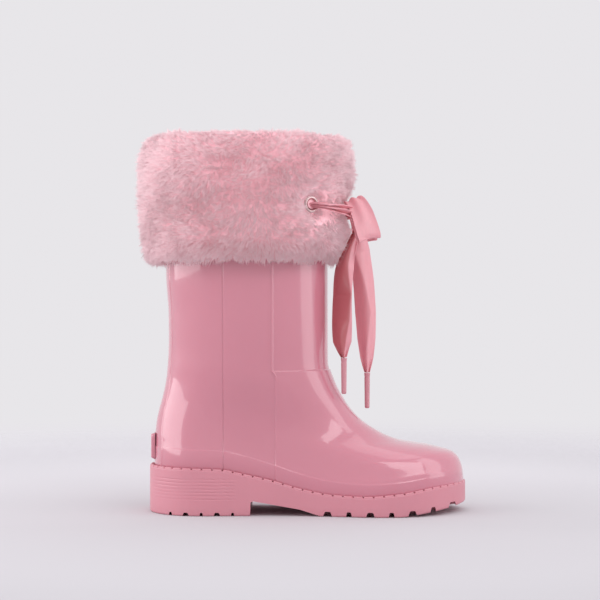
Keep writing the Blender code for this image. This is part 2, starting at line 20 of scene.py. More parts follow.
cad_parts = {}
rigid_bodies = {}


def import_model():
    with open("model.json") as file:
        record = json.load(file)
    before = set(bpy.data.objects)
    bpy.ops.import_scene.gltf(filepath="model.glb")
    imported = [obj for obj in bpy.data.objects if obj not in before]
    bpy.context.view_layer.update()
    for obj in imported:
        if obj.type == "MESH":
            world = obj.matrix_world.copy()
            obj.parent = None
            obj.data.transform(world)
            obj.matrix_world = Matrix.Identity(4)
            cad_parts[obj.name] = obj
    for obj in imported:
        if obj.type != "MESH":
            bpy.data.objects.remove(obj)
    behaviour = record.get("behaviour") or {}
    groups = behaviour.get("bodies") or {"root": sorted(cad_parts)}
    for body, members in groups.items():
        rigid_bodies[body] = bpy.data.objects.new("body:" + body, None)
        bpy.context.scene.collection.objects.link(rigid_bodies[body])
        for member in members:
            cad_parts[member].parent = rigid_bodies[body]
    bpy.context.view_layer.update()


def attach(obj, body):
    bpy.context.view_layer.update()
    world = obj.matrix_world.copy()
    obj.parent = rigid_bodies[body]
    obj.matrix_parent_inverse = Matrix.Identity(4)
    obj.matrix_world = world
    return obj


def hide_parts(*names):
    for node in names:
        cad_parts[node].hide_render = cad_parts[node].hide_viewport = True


logging.basicConfig(level=logging.INFO, format="%(message)s")
log = logging.getLogger("rain_boot")

MM = 0.001
Points = tuple[tuple[float, float], ...]
Colour = tuple[float, float, float]
Array = np.ndarray
Number = float | Array
Piece = bpy.types.Object
Material = bpy.types.Material


# ---------------- lines and curves


class Profile:
    """A smooth line through a few points that never overshoots them."""

    def __init__(self, points: Points) -> None:
        """Works out the slope at each point.

        Args:
            points: pairs of place and value, in rising order of place.
        """
        self.at, self.value = (np.array(column, float) for column in zip(*points))
        step = np.diff(self.at)
        slope = np.diff(self.value) / step
        inner = np.zeros(len(slope) - 1)
        same = slope[1:] * slope[:-1] > 0
        near, far = 2 * step[1:] + step[:-1], step[1:] + 2 * step[:-1]
        safe_before, safe_after = np.where(same, slope[:-1], 1), np.where(same, slope[1:], 1)
        inner[same] = ((near + far) / (near / safe_before + far / safe_after))[same]
        self.slope = np.concatenate(([slope[0]], inner, [slope[-1]]))

    def __call__(self, place: Number) -> Array:
        """The line's value at one place or at many."""
        x = np.clip(place, self.at[0], self.at[-1])
        i = np.clip(np.searchsorted(self.at, x, side="right") - 1, 0, len(self.at) - 2)
        step = self.at[i + 1] - self.at[i]
        t = (x - self.at[i]) / step
        rise = (self.value[i] * (1 + 2 * t) + self.slope[i] * step * t) * (1 - t) ** 2
        fall = (self.value[i + 1] * (3 - 2 * t) - self.slope[i + 1] * step * (1 - t)) * t**2
        return rise + fall


def smooth(t: Number) -> Array:
    """An even step from 0 to 1 that starts and ends flat."""
    t = np.clip(t, 0.0, 1.0)
    return t * t * (3 - 2 * t)


def rounding(distance: Number, length: Number) -> Array:
    """A quarter ellipse: 0 at the end of a shape, 1 at `length` from it."""
    left = np.clip((length - distance) / length, 0.0, 1.0)
    return np.sqrt(np.maximum(0.0, 1 - left**2))


def route(points: Sequence[Sequence[float]], count: int) -> Array:
    """Places along a Catmull-Rom curve, which goes through every given point.

    Args:
        points: the points that the curve goes through.
        count: how many places to give.

    Returns:
        The places, one row each.
    """
    given = np.array(points, float)
    given = np.vstack([2 * given[0] - given[1], given, 2 * given[-1] - given[-2]])
    spans = len(given) - 3
    t = np.linspace(0, spans, count)
    i = np.minimum(t.astype(int), spans - 1)
    u = (t - i)[:, None]
    a, b, c, d = (given[i + k] for k in range(4))
    return 0.5 * (2 * b + (c - a) * u + (2 * a - 5 * b + 4 * c - d) * u**2 + (3 * b - a - 3 * c + d) * u**3)


def unit(vectors: Array) -> Array:
    """Each vector at length 1."""
    return vectors / np.maximum(np.linalg.norm(vectors, axis=-1, keepdims=True), 1e-9)


def spread(values: Sequence[float], count: int) -> Array:
    """A short list of values stretched evenly over `count` places."""
    return np.interp(np.linspace(0, len(values) - 1, count), np.arange(len(values)), values)


# ---------------- meshes


def grid_faces(rows: int, columns: int, wrap_rows: bool = False, wrap_columns: bool = False) -> Array:
    """Quads over a grid of points that are numbered row by row."""
    row = np.arange(rows if wrap_rows else rows - 1)
    column = np.arange(columns if wrap_columns else columns - 1)
    low, left = np.meshgrid(row, column, indexing="ij")
    up, right = (low + 1) % rows, (left + 1) % columns
    corners = [low * columns + left, low * columns + right, up * columns + right, up * columns + left]
    return np.stack(corners, -1).reshape(-1, 4)


def grid_normals(grid: Array, wrap_rows: bool = False, wrap_columns: bool = False) -> Array:
    """The direction square to a grid's surface at each of its points."""

    def change(axis: int, wrap: bool) -> Array:
        """How the grid's points move along one of its axes."""
        if wrap:
            return np.roll(grid, -1, axis) - np.roll(grid, 1, axis)
        return np.gradient(grid, axis=axis)

    return unit(np.cross(change(1, wrap_columns), change(0, wrap_rows)))


def volume(points: Array, groups: Sequence[Array]) -> float:
    """Six times the signed volume that the faces enclose."""
    total = 0.0
    for group in groups:
        for k in range(1, group.shape[1] - 1):
            a, b, c = (points[group[:, corner]] for corner in (0, k, k + 1))
            total += float(np.einsum("ij,ij->", a, np.cross(b, c)))
    return total


def make_piece(name: str, points: Array, *groups: Array, crease: float = 40) -> Piece:
    """A piece from points in millimetres and groups of faces with the same number of corners.

    Args:
        name: the piece's name.
        points: its points, one row each.
        groups: its faces, as rows of point numbers.
        crease: the angle in degrees above which an edge stays sharp.

    Returns:
        The new object, with its faces looking outwards.
    """
    points = np.asarray(points, float).reshape(-1, 3)
    if volume(points, groups) < 0:
        groups = tuple(group[:, ::-1] for group in groups)
    mesh = bpy.data.meshes.new(name)
    mesh.vertices.add(len(points))
    mesh.vertices.foreach_set("co", (points * MM).astype(np.float32).ravel())
    corners = np.concatenate([group.ravel() for group in groups])
    sizes = np.concatenate([np.full(len(group), group.shape[1]) for group in groups])
    starts = np.concatenate(([0], np.cumsum(sizes)[:-1]))
    mesh.loops.add(len(corners))
    mesh.loops.foreach_set("vertex_index", corners.astype(np.int32))
    mesh.polygons.add(len(sizes))
    mesh.polygons.foreach_set("loop_start", starts.astype(np.int32))
    mesh.update(calc_edges=True)
    mesh.validate()
    mesh.shade_smooth()
    mesh.set_sharp_from_angle(angle=math.radians(crease))
    piece = bpy.data.objects.new(name, mesh)
    bpy.context.scene.collection.objects.link(piece)
    return piece


def mark_points(piece: Piece, name: str, values: Array) -> None:
    """Stores one number for each of a piece's points, for its material to read."""
    layer = piece.data.attributes.new(name, "FLOAT", "POINT")
    layer.data.foreach_set("value", np.asarray(values, np.float32))


def shell(outer: Array, inner: Array, wrap: bool = False) -> tuple[Array, Array]:
    """A closed thin wall between two grids of the same size; wrap joins their first and last columns.

    Returns:
        The points and the quads.
    """
    rows, columns = outer.shape[:2]
    total = rows * columns
    number = np.arange(total).reshape(rows, columns)
    faces = grid_faces(rows, columns, wrap_columns=wrap)
    parts = [faces, faces[:, ::-1] + total]

    def band(line: Array, flip: bool, loop: bool) -> Array:
        """Quads that join a line of outer points to the inner points behind it."""
        ahead = np.roll(line, -1) if loop else line[1:]
        here = line if loop else line[:-1]
        quads = np.stack([here, ahead, ahead + total, here + total], -1)
        return quads[:, ::-1] if flip else quads

    parts += [band(number[0], True, wrap), band(number[-1], False, wrap)]
    if not wrap:
        parts += [band(number[:, 0], False, False), band(number[:, -1], True, False)]
    return np.vstack([outer.reshape(-1, 3), inner.reshape(-1, 3)]), np.vstack(parts)


def strip_cap(start: int, count: int) -> Array:
    """Quads across a ring whose point i lies opposite point count - i, leaving out its two end triangles."""
    i = np.arange(1, count // 2 - 1)
    return start + np.stack([i, i + 1, count - i - 1, count - i], -1)


def end_triangles(start: int, count: int) -> Array:
    """The two triangles that end a strip cap."""
    half = count // 2
    return start + np.array([[0, 1, count - 1], [half, half + 1, half - 1]])


def block(rings: Array) -> tuple[Array, Array, Array]:
    """A solid through rings, closed by a strip across the first and the last."""
    rows, columns = rings.shape[:2]
    last = (rows - 1) * columns
    quads = np.vstack([grid_faces(rows, columns, wrap_columns=True), strip_cap(0, columns)[:, ::-1],
                       strip_cap(last, columns)])
    ends = np.vstack([end_triangles(0, columns)[:, ::-1], end_triangles(last, columns)])
    return rings.reshape(-1, 3), quads, ends


def sock(outer: Array, inner: Array) -> tuple[Array, Array, Array]:
    """A wall between two sets of rings, open at the first ring and closed across the last."""
    rows, columns = outer.shape[:2]
    total = rows * columns
    last = (rows - 1) * columns
    side = grid_faces(rows, columns, wrap_columns=True)
    cap, ends = strip_cap(last, columns), end_triangles(last, columns)
    line = np.arange(columns)
    mouth = np.stack([np.roll(line, -1), line, line + total, np.roll(line, -1) + total], -1)
    quads = np.vstack([side, side[:, ::-1] + total, cap, cap[:, ::-1] + total, mouth])
    ends = np.vstack([ends, ends[:, ::-1] + total])
    return np.vstack([outer.reshape(-1, 3), inner.reshape(-1, 3)]), quads, ends


def turned(profile: Array, segments: int, base: Array, axis: Array) -> Array:
    """Rings of a closed (radius, height) outline that is turned about an axis through `base`."""
    side = unit(np.cross(axis, (0.0, 0.0, 1.0) if abs(axis[2]) < 0.9 else (1.0, 0.0, 0.0)))
    other = np.cross(axis, side)
    angle = np.linspace(0, 2 * math.pi, segments, endpoint=False)[:, None, None]
    arm = side * np.cos(angle) + other * np.sin(angle)
    return base + arm * profile[None, :, :1] + axis * profile[None, :, 1:]


def ring_solid(rings: Array) -> tuple[Array, Array]:
    """A closed band: its sections follow one another and the last joins the first."""
    rows, columns = rings.shape[:2]
    return rings.reshape(-1, 3), grid_faces(rows, columns, True, True)


def tube(rings: Array) -> tuple[Array, Array, Array]:
    """A solid through rings, each end closed by one flat face."""
    rows, columns = rings.shape[:2]
    line = np.arange(columns)
    caps = np.array([line[::-1], line + (rows - 1) * columns])
    return rings.reshape(-1, 3), grid_faces(rows, columns, wrap_columns=True), caps


def resampled(outline: Array, count: Callable[[float], int]) -> Array:
    """A closed line's points at even steps, as many as `count` says for its length."""
    around = np.vstack([outline, outline[:1]])
    run = np.concatenate(([0], np.cumsum(np.linalg.norm(np.diff(around, axis=0), axis=1))))
    at = np.linspace(0, run[-1], count(run[-1]), endpoint=False)
    return np.stack([np.interp(at, run, column) for column in around.T], -1)


def rounded(outline: Sequence[Sequence[float]], count: int) -> Array:
    """A closed outline through a few points with its corners eased."""
    dense = resampled(np.array(outline, float), lambda length: count)
    return (np.roll(dense, 1, 0) + 2 * dense + np.roll(dense, -1, 0)) / 4


def two_sided(x: Array, centre: Array, half: Array, z: Array) -> Array:
    """A ring from back to front along the outer side and home along the inner side."""
    half[[0, -1]] = 0
    outer, inner = (np.stack([x, centre + side * half, z], -1) for side in (-1, 1))
    return np.vstack([outer, inner[-2:0:-1]])


# ---------------- shader expressions


class Signal:
    """A shader socket in an expression: its operators add Math nodes."""

    def __init__(self, shader: Shader, socket: bpy.types.NodeSocket) -> None:
        """Wraps a socket of that shader."""
        self.shader, self.socket = shader, socket

    def _math(self, operation: str, other: Signal | float, reflected: bool = False) -> Signal:
        """A Math node on this value and another, in reflected order if asked."""
        first, second = (other, self) if reflected else (self, other)
        return self.shader.node("ShaderNodeMath", {"operation": operation}, {0: first, 1: second})

    def __add__(self, other: Signal | float) -> Signal:
        """This value plus another."""
        return self._math("ADD", other)

    def __sub__(self, other: Signal | float) -> Signal:
        """This value less another."""
        return self._math("SUBTRACT", other)

    def __rsub__(self, other: Signal | float) -> Signal:
        """A number less this value."""
        return self._math("SUBTRACT", other, reflected=True)

    def __mul__(self, other: Signal | float) -> Signal:
        """This value times another."""
        return self._math("MULTIPLY", other)

    def __pow__(self, other: Signal | float) -> Signal:
        """This value to a power."""
        return self._math("POWER", other)

    __radd__ = __add__
    __rmul__ = __mul__


class Shader:
    """A material under construction."""

    def __init__(self, name: str) -> None:
        """Starts a material with an empty node tree."""
        self.material = bpy.data.materials.new(name)
        self.material.use_nodes = True
        self.tree = self.material.node_tree
        self.tree.nodes.clear()

    def node(self, kind: str, settings: dict | None = None, sockets: dict | None = None,
             output: int = 0) -> Signal:
        """Adds one node.

        Args:
            kind: the node's type.
            settings: its properties, set first; "stops" fills a colour ramp.
            sockets: values or signals by socket name or number.
            output: the number of the output wanted.

        Returns:
            That output.
        """
        made = self.tree.nodes.new(kind)
        for name, value in (settings or {}).items():
            if name == "stops":
                ramp = made.color_ramp
                while len(ramp.elements) < len(value):
                    ramp.elements.new(0.5)
                for element, (place, colour) in zip(ramp.elements, value):
                    element.position, element.color = place, (*colour, 1)
            else:
                setattr(made, name, value)
        for name, value in (sockets or {}).items():
            if isinstance(value, Signal):
                self.tree.links.new(value.socket, made.inputs[name])
            else:
                made.inputs[name].default_value = value
        return Signal(self, made.outputs[output])

    def place(self, scale: Sequence[float] = (1, 1, 1)) -> Signal:
        """The object's own coordinates in metres, stretched by a scale."""
        spot = self.node("ShaderNodeTexCoord", output=3)
        return self.node("ShaderNodeVectorMath", {"operation": "MULTIPLY"}, {0: spot, 1: scale})

    def noise(self, per_metre: float, detail: float = 2, scale: Sequence[float] = (1, 1, 1)) -> Signal:
        """Smooth noise from 0 to 1 with that many blobs to the metre."""
        sockets = {"Vector": self.place(scale), "Scale": per_metre, "Detail": detail}
        return self.node("ShaderNodeTexNoise", {}, sockets)

    def mix(self, share: Signal | float, low: Signal | Colour, high: Signal | Colour) -> Signal:
        """A colour between two others."""
        low, high = (value if isinstance(value, Signal) else (*value, 1) for value in (low, high))
        return self.node("ShaderNodeMix", {"data_type": "RGBA"}, {0: share, 6: low, 7: high}, output=2)

    def bump(self, height: Signal, distance: float, strength: float = 1) -> Signal:
        """A normal from a height of 0 to 1 over that distance in metres."""
        return self.node("ShaderNodeBump", {}, {"Height": height, "Distance": distance, "Strength": strength})

    def finish(self, sockets: dict) -> Material:
        """Closes the material with a Principled shader on its output."""
        surface = self.node("ShaderNodeBsdfPrincipled", {}, sockets)
        end = self.tree.nodes.new("ShaderNodeOutputMaterial")
        self.tree.links.new(surface.socket, end.inputs["Surface"])
        return self.material


# ---------------- finishes


def shade(colour: Colour, factor: float) -> Colour:
    """A colour made lighter or darker."""
    return tuple(min(1.0, channel * factor) for channel in colour)


@dataclass(frozen=True)
class GlossyPvc:
    """Moulded PVC with a wet shine and the slow waves of a thin moulding."""

    colour: Colour = (0.625, 0.228, 0.293)
    wave: float = 0.00012
    peel: float = 0.000012

    def material(self) -> Material:
        """Builds the material."""
        shader = Shader("glossy_pvc")
        cloud = shader.noise(16, 1)
        base = shader.mix(cloud, shade(self.colour, 0.96), shade(self.colour, 1.04))
        waves = shader.bump(shader.noise(14, 0), self.wave)
        peel = shader.node("ShaderNodeBump", {}, {"Height": shader.noise(900, 1), "Distance": self.peel,
                                                  "Normal": waves})
        scuffs = shader.noise(420, 4) ** 3.0
        return shader.finish({
            "Base Color": base, "Roughness": 0.2 + 0.12 * scuffs, "IOR": 1.5, "Normal": peel,
            "Coat Weight": 1.0, "Coat Roughness": 0.035, "Coat IOR": 1.5,
            "Subsurface Weight": 0.12, "Subsurface Radius": (0.004, 0.002, 0.002), "Subsurface Scale": 1.0})


@dataclass(frozen=True)
class SolePvc:
    """Satin moulded PVC of the sole, with a fine grained skin."""

    colour: Colour = (0.66, 0.27, 0.325)

    def material(self) -> Material:
        """Builds the material."""
        shader = Shader("sole_pvc")
        grain = shader.noise(1800, 3)
        low = shader.node("ShaderNodeSeparateXYZ", {}, {0: shader.place()}, output=2)
        scuff = shader.noise(260, 5, (1, 1, 2.5))
        # Darker in patches towards the bottom of the sole.
        bottom_darkening = shader.node("ShaderNodeMapRange", {}, {"Value": low, "From Min": 0.006, "From Max": 0.0,
                                                     "To Min": 0.0, "To Max": 0.35})
        base = shader.mix(shader.noise(30, 2), shade(self.colour, 0.96), shade(self.colour, 1.04))
        darkened_base = shader.mix(bottom_darkening * scuff, base, shade(self.colour, 0.72))
        return shader.finish({
            "Base Color": darkened_base, "Roughness": 0.36 + 0.16 * scuff, "IOR": 1.48,
            "Normal": shader.bump(grain, 0.00004, 0.7),
            "Subsurface Weight": 0.1, "Subsurface Radius": (0.003, 0.0015, 0.0015), "Subsurface Scale": 1.0})


@dataclass(frozen=True)
class FurFibre:
    """Fine acrylic pile: deeper at the root, paler and softer at the tip, with a faint painted glow in its
    own colour that lightens the shade among its strands.
    """

    root: Colour = (0.96, 0.46, 0.52)
    middle: Colour = (1.0, 0.60, 0.66)
    tip: Colour = (1.0, 0.75, 0.79)

    def material(self) -> Material:
        """Builds the material; the pile's height and tone come from attributes on its strands."""
        shader = Shader("faux_fur")
        height = shader.node("ShaderNodeAttribute", {"attribute_name": "pile"}, {}, output=2)
        tone = shader.node("ShaderNodeAttribute", {"attribute_name": "tone"}, {}, output=2)
        stops = [(0.0, self.root), (0.45, self.middle), (1.0, self.tip)]
        along = shader.node("ShaderNodeValToRGB", {"stops": stops}, {"Fac": height})
        drift = shader.noise(45, 2)
        varied = shader.mix(0.2 * tone + 0.1 * drift, along, self.root)
        # Painted light: the emission makes the pile glow faintly in its own colour, lightening the shade
        # among its strands.
        return shader.finish({"Base Color": varied, "Roughness": 0.72 - 0.12 * height, "IOR": 1.45,
                              "Sheen Weight": 0.1, "Sheen Roughness": 0.5,
                              "Emission Color": varied, "Emission Strength": 0.13})


@dataclass(frozen=True)
class Satin:
    """Satin ribbon: long warp floats across fine picks."""

    colour: Colour = (0.78, 0.335, 0.38)
    # Painted shade: the darker colour that marked parts of a strip take in place of their face colour.
    reverse: Colour = (0.50, 0.135, 0.15)
    wave_scale: float = 2600 / 6.28

    def material(self) -> Material:
        """Builds the material."""
        shader = Shader("satin_ribbon")
        picks = shader.node("ShaderNodeTexWave", {"bands_direction": "Z"},
                            {"Vector": shader.place(), "Scale": self.wave_scale, "Distortion": 0.6,
                             "Detail": 1.0})
        slub = shader.noise(700, 3, (1, 1, 0.12))
        face = shader.mix(slub, shade(self.colour, 0.9), shade(self.colour, 1.08))
        # Painted shade: where a strip is marked, its colour turns to the darker one.
        reverse = shader.node("ShaderNodeAttribute", {"attribute_name": "reverse"}, {}, output=2)
        base = shader.mix(reverse, face, self.reverse)
        height = 0.6 * picks + 0.4 * slub
        return shader.finish({
            "Base Color": base, "Roughness": 0.26 + 0.1 * slub, "IOR": 1.5,
            "Normal": shader.bump(height, 0.00003, 0.6), "Sheen Weight": 0.5, "Sheen Roughness": 0.35,
            "Sheen Tint": (1.0, 0.8, 0.84, 1), "Specular IOR Level": 0.65,
            "Subsurface Weight": 0.15, "Subsurface Radius": (0.002, 0.001, 0.001), "Subsurface Scale": 1.0})


@dataclass(frozen=True)
class PolishedMetal:
    """Nickel-plated steel with fine handling scratches; its rose tint is a painted reflection of the pink
    boot round it.
    """

    # Painted reflection: the rose tint stands for the pink boot and ribbon mirrored in the nickel.
    colour: Colour = (0.62, 0.47, 0.47)

    def material(self) -> Material:
        """Builds the material."""
        shader = Shader("eyelet_steel")
        marks = shader.noise(2500, 4, (1, 1, 0.2))
        base = shader.mix(marks, shade(self.colour, 0.9), self.colour)
        return shader.finish({"Base Color": base, "Metallic": 1.0, "Roughness": 0.12 + 0.16 * marks,
                              "Normal": shader.bump(marks, 0.000006)})


@dataclass(frozen=True)
class KnitTextile:
    """Soft knitted cloth, in small loops."""

    name: str
    colour: Colour
    loops_per_metre: float = 900

    def material(self) -> Material:
        """Builds the material."""
        shader = Shader(self.name)
        settings = {"feature": "F1", "distance": "EUCLIDEAN"}
        loops = shader.node("ShaderNodeTexVoronoi", settings,
                            {"Vector": shader.place((1, 1, 0.7)), "Scale": self.loops_per_metre})
        fuzz = shader.noise(300, 4)
        base = shader.mix(loops, shade(self.colour, 1.08), shade(self.colour, 0.72))
        soft = shader.mix(0.35 * fuzz, base, shade(self.colour, 0.8))
        return shader.finish({"Base Color": soft, "Roughness": 0.8 + 0.15 * fuzz, "Sheen Weight": 0.5,
                              "Normal": shader.bump(1 - loops, 0.0002)})


@dataclass(frozen=True)
class Foam:
    """Open-cell cushioning foam."""

    colour: Colour = (0.82, 0.77, 0.73)

    def material(self) -> Material:
        """Builds the material."""
        shader = Shader("insole_foam")
        cells = shader.node("ShaderNodeTexVoronoi", {"feature": "F1"},
                            {"Vector": shader.place(), "Scale": 1600.0})
        base = shader.mix(cells, self.colour, shade(self.colour, 0.7))
        return shader.finish({"Base Color": base, "Roughness": 0.9, "Normal": shader.bump(cells, 0.0003)})


@dataclass(frozen=True)
class TipFilm:
    """Clear acetate film rolled tightly on ribbon, as on a lace tip."""

    colour: Colour = (0.62, 0.255, 0.30)

    def material(self) -> Material:
        """Builds the material."""
        shader = Shader("aglet_plastic")
        fold = shader.noise(1500, 2, (1, 1, 0.08))
        base = shader.mix(fold, shade(self.colour, 0.84), shade(self.colour, 1.16))
        return shader.finish({"Base Color": base, "Roughness": 0.24 + 0.12 * fold, "Coat Weight": 0.7,
                              "Coat Roughness": 0.08, "Normal": shader.bump(fold, 0.0001)})


@dataclass(frozen=True)
class Paper:
    """Seamless studio paper that fades out towards its rim, with painted shade that darkens it towards the
    front.
    """

    colour: Colour = (0.70, 0.685, 0.715)
    clear_from: float = 0.25
    clear_to: float = 0.85

    def material(self) -> Material:
        """Builds the material."""
        shader = Shader("studio_paper")
        reach = shader.node("ShaderNodeVectorMath", {"operation": "LENGTH"}, {0: shader.place()}, output=1)
        fade = shader.node("ShaderNodeMapRange", {"interpolation_type": "SMOOTHSTEP"},
                           {"Value": reach, "From Min": self.clear_from, "From Max": self.clear_to,
                            "To Min": 1.0, "To Max": 0.0})
        fibre = shader.noise(160, 3)
        # Painted shade: the paper is darker at the front and lighter towards the back.
        depth = shader.node("ShaderNodeSeparateXYZ", {}, {"Vector": shader.place()}, output=1)
        far = shader.node("ShaderNodeMapRange", {}, {"Value": depth, "From Min": -0.08, "From Max": 0.45})
        base = shader.mix(0.96 * far + 0.04 * fibre, shade(self.colour, 0.86), shade(self.colour, 1.07))
        return shader.finish({"Base Color": base, "Roughness": 1.0, "Specular IOR Level": 0.0, "Alpha": fade})


class Finish(Enum):
    """The finishes of the boot, by the record's material slot."""

    SHELL = "glossy_pvc"
    SOLE = "sole_pvc"
    FUR = "faux_fur"
    BACKING = "knit_backing"
    TAPE = "binding_tape"
    LINING = "lining_textile"
    FOAM = "foam"
    SATIN = "satin_ribbon"
    TIP = "aglet_plastic"
    METAL = "eyelet_steel"


class Wardrobe:
    """One material for each finish, made once."""

    def __init__(self) -> None:
        """Builds every material."""
        pink_cloth = (0.68, 0.36, 0.41)
        self.by_finish = {
            Finish.SHELL: GlossyPvc().material(),
            Finish.SOLE: SolePvc().material(),
            Finish.FUR: FurFibre().material(),
            Finish.BACKING: KnitTextile("knit_backing", pink_cloth, 700).material(),
            Finish.TAPE: KnitTextile("binding_tape", (0.62, 0.29, 0.35), 1300).material(),
            Finish.LINING: KnitTextile("lining_textile", pink_cloth, 1000).material(),
            Finish.FOAM: Foam().material(),
            Finish.SATIN: Satin().material(),
            Finish.TIP: TipFilm().material(),
            Finish.METAL: PolishedMetal().material(),
        }

    def dress(self, piece: Piece, finish: Finish, body: str, *nodes: str) -> Piece:
        """Gives a piece its finish, its body and the CAD nodes that it stands for.

        Args:
            piece: the piece.
            finish: its finish.
            body: the CAD body that it moves with.
            nodes: the CAD nodes that it replaces.

        Returns:
            The same piece.
        """
        piece.data.materials.append(self.by_finish[finish])
        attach(piece, body)
        if nodes:
            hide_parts(*nodes)
        log.info("%s: %d faces, on %s", piece.name, len(piece.data.polygons), body)
        return piece


# ---------------- the boot's shape


@dataclass
class BootForm:
    """The boot's moulded shape in side view and in plan, in millimetres; every sub-assembly works from it."""

    front: Points = ((18.3, 101), (25, 100.2), (31.5, 98.1), (35.8, 93.8), (39.6, 81), (43.4, 60),
                     (50.6, 44.4), (58, 34.6), (69, 26.4), (80, 20.8), (92, 17.4), (104, 17.3), (212, 17.3))
    back: Points = ((12, -89.2), (45, -89.2), (54, -88.4), (62, -86.8), (70, -84.6), (84, -82), (104, -80.8),
                    (120, -80.9), (143, -82.4), (160, -82.7), (212, -82.7))
    rim: Points = ((-93, 28.4), (-66, 28), (-47, 27.3), (-35, 24.9), (-16, 20.6), (0, 16), (19, 12.6),
                   (38, 11.8), (60, 13.4), (80, 16.6), (103, 18.4))
    shaft_half: Points = ((20, 31), (60, 32.5), (92, 34.5), (140, 38), (160, 38.5), (212, 38.5))
    sole_half: Points = ((-93, 29.5), (-62, 30.5), (-30, 28.5), (0, 29.5), (25, 34), (48, 38.5), (70, 38.5),
                         (103, 37))
    sole_middle: Points = ((-93, 0), (-20, -2.5), (30, -1.5), (60, 0), (103, 5))
    sole_back: float = -92.5
    sole_front: float = 102.4
    heel_round: float = 29
    toe_round: float = 45
    welt_ledge: float = 3
    toe_spring: float = 5.8
    spring_start: float = 60
    spring_power: float = 1.15
    shaft_x: float = -32.7
    shaft_a: float = 50.0
    shaft_b: float = 38.5

    def __post_init__(self) -> None:
        """Turns the outlines into smooth lines."""
        self.front_x, self.back_x, self.rim_z = Profile(self.front), Profile(self.back), Profile(self.rim)
        self.shaft_width, self.sole_width = Profile(self.shaft_half), Profile(self.sole_half)
        self.sole_centre = Profile(self.sole_middle)

    def upper_width(self, x: Array, z: Array) -> tuple[Array, Array]:
        """Half the boot's width at a place in its side view, and the y of its middle there."""
        height = z - self.rim_z(x)
        to_back, to_front = x - self.back_x(z), self.front_x(z) - x
        toe_length = self.toe_round - 1 + 1.5 * np.maximum(0.0, z - 25)
        belly = 0.03 * np.sin(math.pi * np.clip(height / 16, 0, 1))
        foot = (1 + belly - 0.12 * smooth((height - 8) / 34)) * (self.sole_width(x) - self.welt_ledge)
        foot = foot * rounding(to_back, self.heel_round - 2) * rounding(to_front, toe_length)
        along = to_back / np.maximum(to_back + to_front, 1e-6)
        shaft = self.shaft_width(z) * 2 * np.sqrt(np.maximum(0.0, along * (1 - along)))
        share = smooth(height / 62)
        return foot * (1 - share) + shaft * share, self.sole_centre(x) * (1 - smooth(height / 45))

    def ring(self, x: Array, z: Array) -> Array:
        """A ring through those places: from the back round the outer side to the front, and home."""
        half, centre = self.upper_width(x, z)
        return two_sided(x, centre, half, z)

    def sole_bottom(self, x: Array) -> Array:
        """Height of the tread's underside, which lifts at the toe."""
        run = np.maximum(0.0, x - self.spring_start) / (self.sole_front - self.spring_start)
        return self.toe_spring * run**self.spring_power

    def plan_half(self, x: Array, inset: float) -> Array:
        """Half the sole's width in plan, that far inside its edge."""
        ends = rounding(x - self.sole_back - inset, self.heel_round - inset)
        return (self.sole_width(x) - inset) * ends * rounding(self.sole_front - inset - x, self.toe_round)

    def plan_ring(self, sides: int, height: Callable[[Array], Array], inset: float) -> Array:
        """A ring of the sole in plan.

        Args:
            sides: how many steps each side takes from back to front.
            height: the ring's z at each x.
            inset: how far inside the sole's edge it runs.

        Returns:
            Its points.
        """
        back, front = self.sole_back + inset, self.sole_front - inset
        x = back + (front - back) * (1 - np.cos(np.linspace(0, math.pi, sides + 1))) / 2
        return two_sided(x, self.sole_centre(x), self.plan_half(x, inset), height(x))

    def shaft_point(self, angle: Number, distance: Number, z: Number) -> Array:
        """A place outside the shaft, by its angle from the front (towards +Y) and distance from the wall."""
        given = (np.asarray(value, float) for value in (angle, distance, z))
        angle, distance, z = np.broadcast_arrays(*given)
        x = self.shaft_x + (self.shaft_a + distance) * np.cos(angle)
        return np.stack([x, (self.shaft_b + distance) * np.sin(angle), z], -1)

    def shaft_out(self, angle: Number) -> Array:
        """The direction square to the shaft's wall at that angle."""
        angle = np.asarray(angle, float)
        across = np.stack([np.cos(angle) / self.shaft_a, np.sin(angle) / self.shaft_b, 0 * angle], -1)
        return unit(across)


# ---------------- foot and shaft


